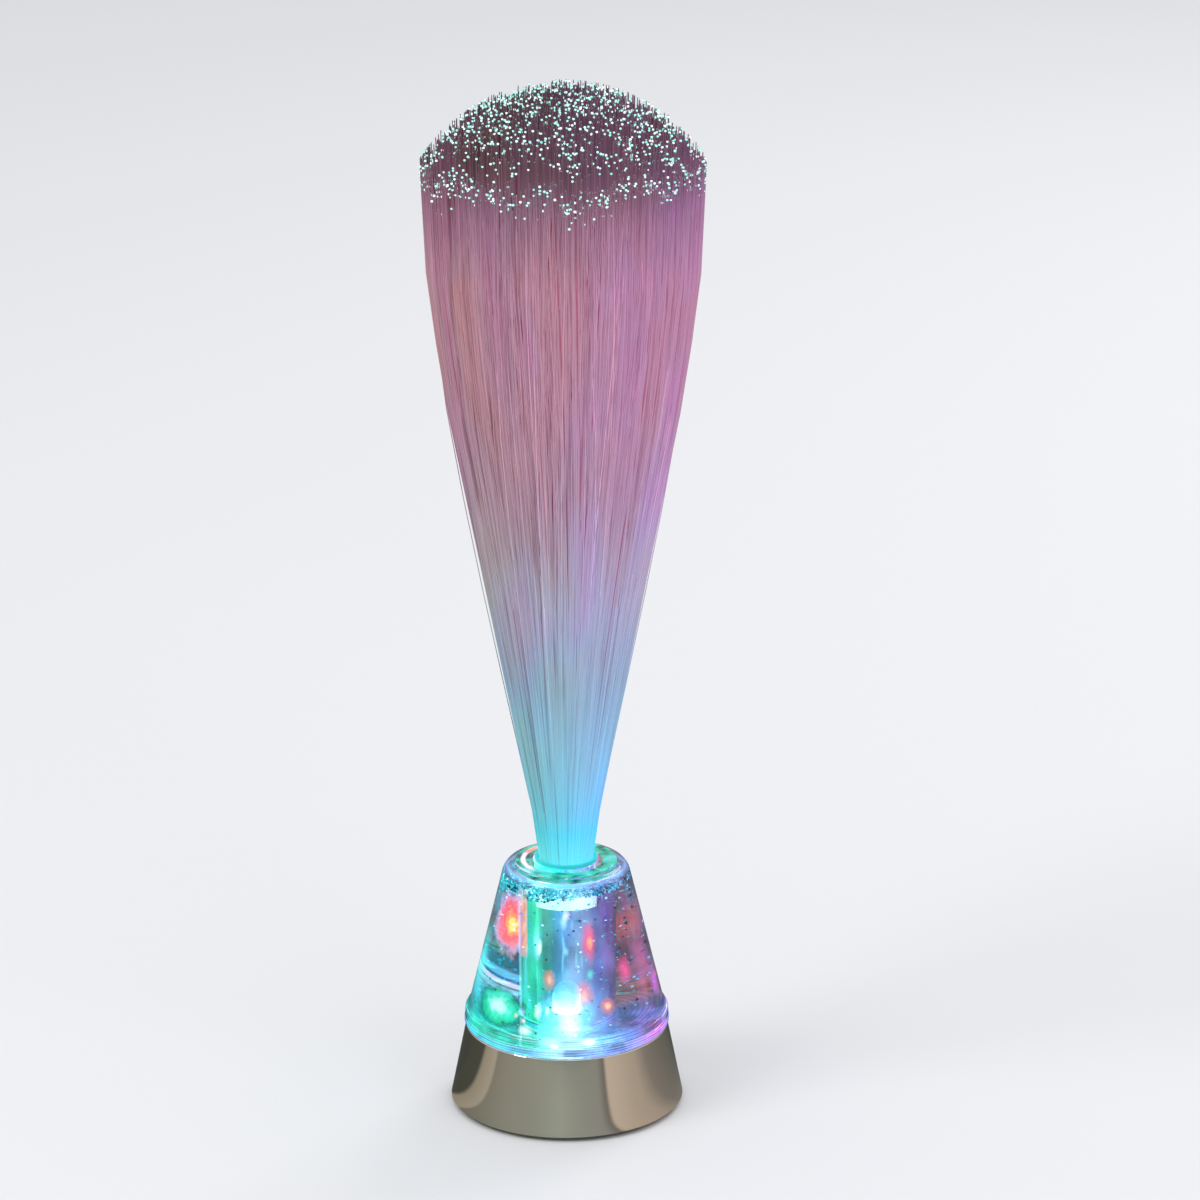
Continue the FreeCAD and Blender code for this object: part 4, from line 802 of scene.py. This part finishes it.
def give_each(mesh, name, values, corners):
    """One number for each of the like shapes in a mesh, kept on all of that shape's corners."""
    store = mesh.attributes.new(name, "FLOAT", "POINT")
    store.data.foreach_set("value", np.repeat(values, corners).astype(np.float32))


def each_one(tree, name):
    """The number that give_each kept."""
    item = tree.nodes.new("ShaderNodeAttribute")
    item.attribute_name = name
    return item.outputs["Fac"]


def flake_place(lowest, highest, tilt, pile=0.0):
    """A place in the liquid between two heights, clear of the walls, and a turn tilted by up to the tilt.
    The flakes go deeper by the pile on one side."""
    turn = dice.uniform(0, math.tau)
    lowest -= pile * max(0.0, math.cos(turn - PILE_SIDE))
    height = lowest + (highest - lowest) * dice.random()
    inner, outer = TUBE_RADIUS + FLAKE_CLEARANCE, inner_wall(height) - FLAKE_CLEARANCE
    radius = math.sqrt(inner**2 + (outer**2 - inner**2) * dice.random())
    place = Matrix.Translation(Vector((radius * math.cos(turn), radius * math.sin(turn), height)) * MM)
    tumble = Matrix.Rotation(dice.uniform(0, tilt), 4, Vector((dice.gauss(0, 1), dice.gauss(0, 1), 0.1)))
    return place @ Matrix.Rotation(dice.uniform(0, math.tau), 4, "Z") @ tumble


places = [flake_place(LIQUID_TOP - 2.2, LIQUID_TOP - 0.9, 1.3, PILE_DEPTH) for _ in range(FLOATING)]
places += [flake_place(FLOOR_TOP + 0.6, LIQUID_TOP - 3.0, math.pi) for _ in range(DRIFTING)]
glitter = finished("glitter_flakes", scatter(flake, places))
give_each(glitter.data, "sparkle", [dice.random() for _ in places], len(flake.verts))
flake.free()
made, tree, shader = material("punched_film", Metallic=0.6, Roughness=0.3, Emission__Strength=1.8)
# each flake, picked at random, shows its film's teal, blue or cyan, or a painted glint, dark or white, in
# place of the light its tilt would catch; it glows with this as painted light
shown = colour_band(tree, each_one(tree, "sparkle"),
                    [(0.00, BLACK), (0.27, (0.00, 0.01, 0.01)), (0.30, (0.00, 0.14, 0.15)),
                     (0.45, (0.00, 0.40, 0.36)), (0.62, (0.01, 0.20, 0.50)), (0.70, (0.04, 0.52, 0.56)),
                     (0.90, (0.10, 0.66, 0.68)), (0.94, (0.85, 1.00, 1.00))])
light = mixed(tree, 0.3, shown, multiplied(tree, shown, placed(tree, around)["Color"]))
feed(tree, shader, Base__Color=light, Emission__Color=light)
fit(glitter, made, "glitter_fluid")


# ------------------------------------------------------------------
# Ferrule: the white sleeve that holds the fibres' polished ends in the tube, lit through.
# ------------------------------------------------------------------
made, tree, shader = material("lit_sleeve", Roughness=0.4, Emission__Strength=6.0)
low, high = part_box("fibre_ferrule")
rise = spread(tree, coordinates(tree)["Z"], low.z, high.z)
feed(
    tree,
    shader,
    Base__Color=colour_band(tree, rise, [(0.6, (0.5, 0.7, 0.75)), (0.8, (0.06, 0.36, 0.34))]),
    Emission__Color=colour_band(tree, rise, [(0.00, (1.00, 0.60, 0.45)), (0.35, (0.90, 0.58, 0.45)),
                                             (0.50, (0.04, 0.20, 0.25)), (0.90, (0.00, 0.05, 0.06))]),
)
paint(made, "fibre_ferrule")


# ------------------------------------------------------------------
# Fibres: thousands of clear plastic strands, bound in the ferrule and fanning out to a domed top.
# They leak some of the light that they carry: cyan at the neck, then lavender and rose; the dusk near the
# top is painted shade, and part of their glow is painted fill light.
# ------------------------------------------------------------------
low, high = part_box("fibre_spray")
SPRAY_FOOT = low.z / MM
SPRAY_TOP = high.z / MM
SPRAY_RADIUS = high.x / MM
NECK = 84.8
BUNDLE_RADIUS = 9.2
RIM_HEIGHT = 316.0
CAP_RADIUS = (SPRAY_RADIUS**2 + (SPRAY_TOP - RIM_HEIGHT) ** 2) / (2 * (SPRAY_TOP - RIM_HEIGHT))
FIBRE_RADIUS = 0.16
FIBRE_SIDES = 4
TIP_RADIUS = 0.48
FIBRE_COUNT = 6400
FIBRE_GROUPS = 8
INNER_SHINING = 0.4
SKIN_SHINING = 0.62
LOOSE_SHARE = 0.12
# heights of the trumpet's outline, and its radius there
OUTLINE = ((SPRAY_FOOT, NECK, 101, 245, 280, RIM_HEIGHT, SPRAY_TOP),
           (BUNDLE_RADIUS, BUNDLE_RADIUS, 11.4, 39.0, 43.4, SPRAY_RADIUS, SPRAY_RADIUS))
STEPS = (NECK, 92, 101, 118, 145, 175, 205, 235, 258, 280, 298)


def trumpet(height):
    """Radius of the spray's outline at a height."""
    return float(np.interp(height, *OUTLINE))


def fibre_line(foot, crown, cut, sway, bow):
    """Points of one fibre: its place in the bundle and in the crown, how much shorter than the domed cap
    it is, how it sways, and how far it bows out of the skin."""
    tip = SPRAY_TOP - CAP_RADIUS + math.sqrt(CAP_RADIUS**2 - (crown.length * SPRAY_RADIUS) ** 2) - cut
    points = []
    for height in [SPRAY_FOOT + 0.5, *[h for h in STEPS if h < tip - 4], tip]:
        rise = max(0.0, (height - NECK) / (SPRAY_TOP - NECK))
        wave = math.sin(math.pi * min(rise * 1.4, 1.0))
        place = foot.lerp(crown, rise**1.5) + sway * wave
        place *= min(1.0, 1.0 / max(place.length, 1e-6)) * (1 + bow * wave)
        reach = trumpet(height) - TIP_RADIUS
        points.append((place.x * reach * MM, place.y * reach * MM, height * MM))
    return points


# inside, the fibres gather in round tufts; in the skin they gather in clumps side by side
TUFTS = 130
TUFT_SPREAD = 0.06
TUFT_REACH = 0.87
SKIN_SHARE = 0.45
SKIN_CLUMPS = 32
SKIN_DEPTH = 0.06
BUNDLE_SPREAD = 0.1
STRAYS = 0.012
GOLDEN_TURN = math.pi * (3 - math.sqrt(5))
tuft_cuts = [dice.uniform(0, 3.5) for _ in range(TUFTS)]
clump_cuts = [dice.uniform(0, 7) for _ in range(SKIN_CLUMPS)]


def around_axis(reach, turn):
    """A place seen from above, by its reach from the axis and its turn round it."""
    return Vector((reach * math.cos(turn), reach * math.sin(turn)))


def inner_fibre():
    """A fibre inside the spray: its place in the bundle and in the crown, its shortness, and whether its
    end shines."""
    number = dice.randrange(TUFTS)
    centre = around_axis(math.sqrt((number + 0.5) / TUFTS) * TUFT_REACH, number * GOLDEN_TURN)
    scattered = Vector((dice.gauss(0, 1), dice.gauss(0, 1)))
    crown = centre + scattered * TUFT_SPREAD
    return centre + scattered * BUNDLE_SPREAD, crown, tuft_cuts[number], dice.random() < INNER_SHINING


def skin_fibre():
    """The same for a fibre in the spray's skin, where only the ends in the middle of a clump shine."""
    number = dice.randrange(SKIN_CLUMPS)
    sector = math.tau / SKIN_CLUMPS
    aside = dice.uniform(-0.5, 0.5)
    depth = 1 - SKIN_DEPTH * dice.random() ** 2
    middle = (number + 0.5) * sector
    foot = around_axis(depth, middle + 1.4 * aside * sector + dice.gauss(0, 0.25))
    shines = dice.random() < SKIN_SHINING * max(0.06, 1 - 2.6 * abs(aside))
    return foot, around_axis(depth, middle + 0.9 * aside * sector), clump_cuts[number], shines


tips = []
# the glow is partly leaked light and partly painted fill light, which softens the shade between strands
fibre_material, tree, shader = material("leaking_fibre", Roughness=0.32, Specular__IOR__Level=0.4,
                                        Emission__Strength=0.52)
turn, _, height = round_axis(tree)
# the leaked light by height; its dark dusk near the top is painted shade
leak_and_shade = colour_band(
    tree,
    spread(tree, height, NECK * MM, SPRAY_TOP * MM),
    [
        (0.00, (0.15, 0.76, 1.00)),
        (0.04, (0.09, 0.62, 0.88)),
        (0.07, (0.15, 0.53, 0.78)),
        (0.13, (0.20, 0.47, 0.66)),
        (0.25, (0.25, 0.38, 0.51)),
        (0.36, (0.34, 0.34, 0.45)),
        (0.50, (0.38, 0.26, 0.38)),
        (0.63, (0.41, 0.23, 0.33)),
        (0.78, (0.41, 0.22, 0.32)),
        (0.86, (0.30, 0.16, 0.25)),
        (0.92, (0.14, 0.075, 0.11)),
        (1.00, (0.10, 0.05, 0.075)),
    ],
)
# broad soft patches of rose, lavender and tan; one side is tan and dull, the other rose and violet
cloud = noise(tree, stretched(tree, 1, 1, 0.22), 55.0, 2)
patch = colour_band(tree, cloud, [(0.32, (1.00, 0.97, 0.90)), (0.44, (1.02, 1.00, 0.95)),
                                  (0.52, (0.98, 1.03, 1.04)), (0.60, (1.03, 0.96, 1.08)),
                                  (0.70, (1.08, 0.90, 1.02))])
side = colour_band(tree, turn, [(0.00, (0.92, 0.92, 0.80)), (0.17, (0.92, 0.92, 0.78)),
                                (0.25, (1.00, 1.00, 0.94)), (0.32, (1.04, 1.04, 1.04)),
                                (0.40, (1.12, 1.04, 1.20)), (0.60, (1.10, 1.00, 1.14)),
                                (0.80, WHITE), (1.00, (0.92, 0.92, 0.80))])
leak_and_shade = multiplied(tree, multiplied(tree, leak_and_shade, side), patch)
# locks that run up the skin, darker and paler by turns, and stronger on the dull side
DULL_TURN = 0.14
along = add_node(tree, "ShaderNodeCombineXYZ", X=product(tree, turn, 100.0), Y=product(tree, height, 12.0))
lock = colour_band(tree, noise(tree, along.outputs["Vector"], 1.0, 3, 0.6),
                   [(0.34, (0.62, 0.50, 0.54)), (0.45, (0.98, 0.97, 0.97)), (0.58, WHITE),
                    (0.68, (1.22, 1.16, 1.10))])
lock_share = spread(tree, off(tree, turn, DULL_TURN), 0.08, 0.22, 1.0, 0.55)
leak_and_shade = mixed(tree, lock_share, leak_and_shade, multiplied(tree, leak_and_shade, lock))
# single strands are darker, redder or paler; they stand out less at the neck, where they lie close
tone = colour_band(tree, each_one(tree, "strand"),
                   [(0.00, (0.30, 0.18, 0.20)), (0.02, (0.80, 0.22, 0.36)), (0.04, (0.90, 0.86, 0.86)),
                    (0.50, WHITE), (0.95, (1.06, 1.06, 1.06)), (0.98, (1.50, 1.46, 1.38))])
tone_share = spread(tree, height, 110 * MM, 200 * MM, 0.3, 1.0)
leak_and_shade = mixed(tree, tone_share, leak_and_shade, multiplied(tree, leak_and_shade, tone))
feed(tree, shader, Base__Color=multiplied(tree, leak_and_shade, (0.8, 0.8, 0.8)), Emission__Color=leak_and_shade)

for group in range(FIBRE_GROUPS):
    line = bpy.data.curves.new(f"fibres_{group + 1}", "CURVE")
    line.dimensions = "3D"
    line.bevel_depth = FIBRE_RADIUS * MM
    line.bevel_resolution = 0  # four sides
    line.use_fill_caps = True
    rings = []
    for _ in range(FIBRE_COUNT // FIBRE_GROUPS):
        in_skin = dice.random() < SKIN_SHARE
        foot, crown, shortness, shines = skin_fibre() if in_skin else inner_fibre()
        if crown.length > 1:
            crown.normalize()
        ragged = 1.4 if in_skin else 1.0
        cut = max(0.0, shortness + ragged * (dice.gauss(0, 1.2) + 2 * max(0.0, dice.gauss(0, 1))))
        loose = 0.05 if dice.random() < LOOSE_SHARE else 0.012
        bow = dice.uniform(0.02, 0.07) if in_skin and dice.random() < STRAYS else 0.0
        points = fibre_line(foot, crown, cut, Vector((dice.gauss(0, loose), dice.gauss(0, loose))), bow)
        spline = line.splines.new("POLY")
        spline.points.add(len(points) - 1)
        spline.points.foreach_set("co", [c for p in points for c in (*p, 1.0)])
        rings.append(len(points) + 2)  # the two caps have rings of their own
        tips.append((points[-1], shines))
    holder = bpy.data.objects.new("fibre_lines", line)
    mesh = bpy.data.meshes.new_from_object(holder)
    bpy.data.objects.remove(holder)
    piece = bpy.data.objects.new(f"fibres_{group + 1}", mesh)
    bpy.context.scene.collection.objects.link(piece)
    give_each(mesh, "strand", [dice.random() for _ in rings], [FIBRE_SIDES * n for n in rings])
    if group == 0:
        fit(piece, fibre_material, "fibre_strands", "fibre_spray")
    else:
        fit(piece, fibre_material, "fibre_strands")


# ------------------------------------------------------------------
# Fibre tips: each cut end is a bright point, where the light at last leaves its fibre.
# ------------------------------------------------------------------
DULL_TIP = 0.36
bead = bmesh.new()
bmesh.ops.create_icosphere(bead, subdivisions=1, radius=TIP_RADIUS * MM)
places = []
for tip, shines in tips:
    size = dice.uniform(0.75, 1.0) if shines else DULL_TIP
    middle = Vector(tip) - Vector((0, 0, size * TIP_RADIUS * MM))
    places.append(Matrix.Translation(middle) @ Matrix.Scale(size, 4))
beads = finished("fibre_tips", scatter(bead, places))
sparkles = [dice.uniform(0.4, 1) if shines else dice.uniform(0, 0.3) for _, shines in tips]
give_each(beads.data, "sparkle", sparkles, len(bead.verts))
bead.free()
made, tree, shader = material("lit_tip", Base__Color=(0.12, 0.20, 0.20), Roughness=0.4,
                              Emission__Strength=1.2)
glow = colour_band(tree, each_one(tree, "sparkle"),
                   [(0.00, (0.06, 0.05, 0.06)), (0.20, (0.10, 0.16, 0.17)), (0.30, (0.20, 0.42, 0.40)),
                    (0.40, (0.22, 0.66, 0.60)), (0.75, (0.50, 0.95, 0.86)), (1.00, WHITE)])
feed(tree, shader, Emission__Color=glow)
fit(beads, made, "fibre_strands")


# ------------------------------------------------------------------
# Studio: a pale floor that keeps the lamp's shadow, soft key, fill and back lights, and an even sky.
# ------------------------------------------------------------------
FLOOR_HALF = 8.0
stage_mesh = bmesh.new()
bmesh.ops.create_grid(stage_mesh, x_segments=1, y_segments=1, size=FLOOR_HALF)
floor = bpy.data.objects.new("floor", bpy.data.meshes.new("floor"))
stage_mesh.to_mesh(floor.data)
stage_mesh.free()
bpy.context.scene.collection.objects.link(floor)
PAPER = (0.74, 0.74, 0.75)
paper, tree, shader = material("paper_floor", Roughness=0.7)
# painted reflection: to glossy rays the paper shows a painted room, darker and warmer than the paper, dark
# behind, with pale walls at the sides, which the plating mirrors
painted_room = colour_band(
    tree,
    round_axis(tree)[0],
    [
        (0.052, (0.04, 0.04, 0.02)),
        (0.062, (0.38, 0.32, 0.22)),
        (0.100, (0.48, 0.42, 0.31)),
        (0.106, (0.24, 0.22, 0.16)),
        (0.200, (0.30, 0.30, 0.23)),
        (0.300, (0.40, 0.43, 0.35)),
        (0.405, (0.26, 0.25, 0.21)),
        (0.424, (0.10, 0.08, 0.06)),
        (0.432, (0.66, 0.52, 0.39)),
        (0.520, (0.52, 0.42, 0.32)),
        (0.560, (0.26, 0.22, 0.18)),
        (0.640, (0.14, 0.13, 0.10)),
        (0.700, (0.03, 0.03, 0.02)),
    ],
)
mirrored = tree.nodes.new("ShaderNodeLightPath").outputs["Is Glossy Ray"]
# the paper is clear from below and has a hole under the base, so that the underside can be looked at
HOLE_RADIUS = 34.0
beneath = tree.nodes.new("ShaderNodeNewGeometry").outputs["Backfacing"]
in_hole = compute(tree, "LESS_THAN", round_axis(tree)[1], HOLE_RADIUS * MM)
there = compute(tree, "SUBTRACT", 1.0, compute(tree, "MAXIMUM", beneath, in_hole))
feed(tree, shader, Base__Color=mixed(tree, mirrored, PAPER, painted_room), Alpha=there)
floor.data.materials.append(paper)

world = bpy.data.worlds.new("studio")
bpy.context.scene.world = world
world.use_nodes = True
tree = world.node_tree
way = tree.nodes.new("ShaderNodeTexCoord").outputs["Generated"]
height = add_node(tree, "ShaderNodeSeparateXYZ", Vector=way).outputs["Z"]
sky = colour_band(tree, spread(tree, height, 0.0, 1.0),
                  [(0.0, (0.24, 0.235, 0.225)), (0.25, (0.42, 0.42, 0.42)), (0.7, (0.95, 0.97, 1.0))])
feed(tree, tree.nodes["Background"], Color=sky)

LAMP_MIDDLE = Vector((0, 0, 0.17))
for name, place, size, power in (
    ("key", (-0.9, -1.2, 1.5), 0.9, 13.0),
    ("fill", (1.4, -0.6, 0.9), 1.2, 5.0),
    ("back", (0.3, 1.5, 1.2), 0.8, 7.0),
):
    lamp = bpy.data.lights.new(name, "AREA")
    lamp.size = size
    lamp.energy = power
    holder = bpy.data.objects.new(name, lamp)
    holder.location = place
    aim = LAMP_MIDDLE - Vector(place)
    holder.rotation_euler = aim.to_track_quat("-Z", "Y").to_euler()
    bpy.context.scene.collection.objects.link(holder)

bpy.context.scene.view_settings.view_transform = "Standard"
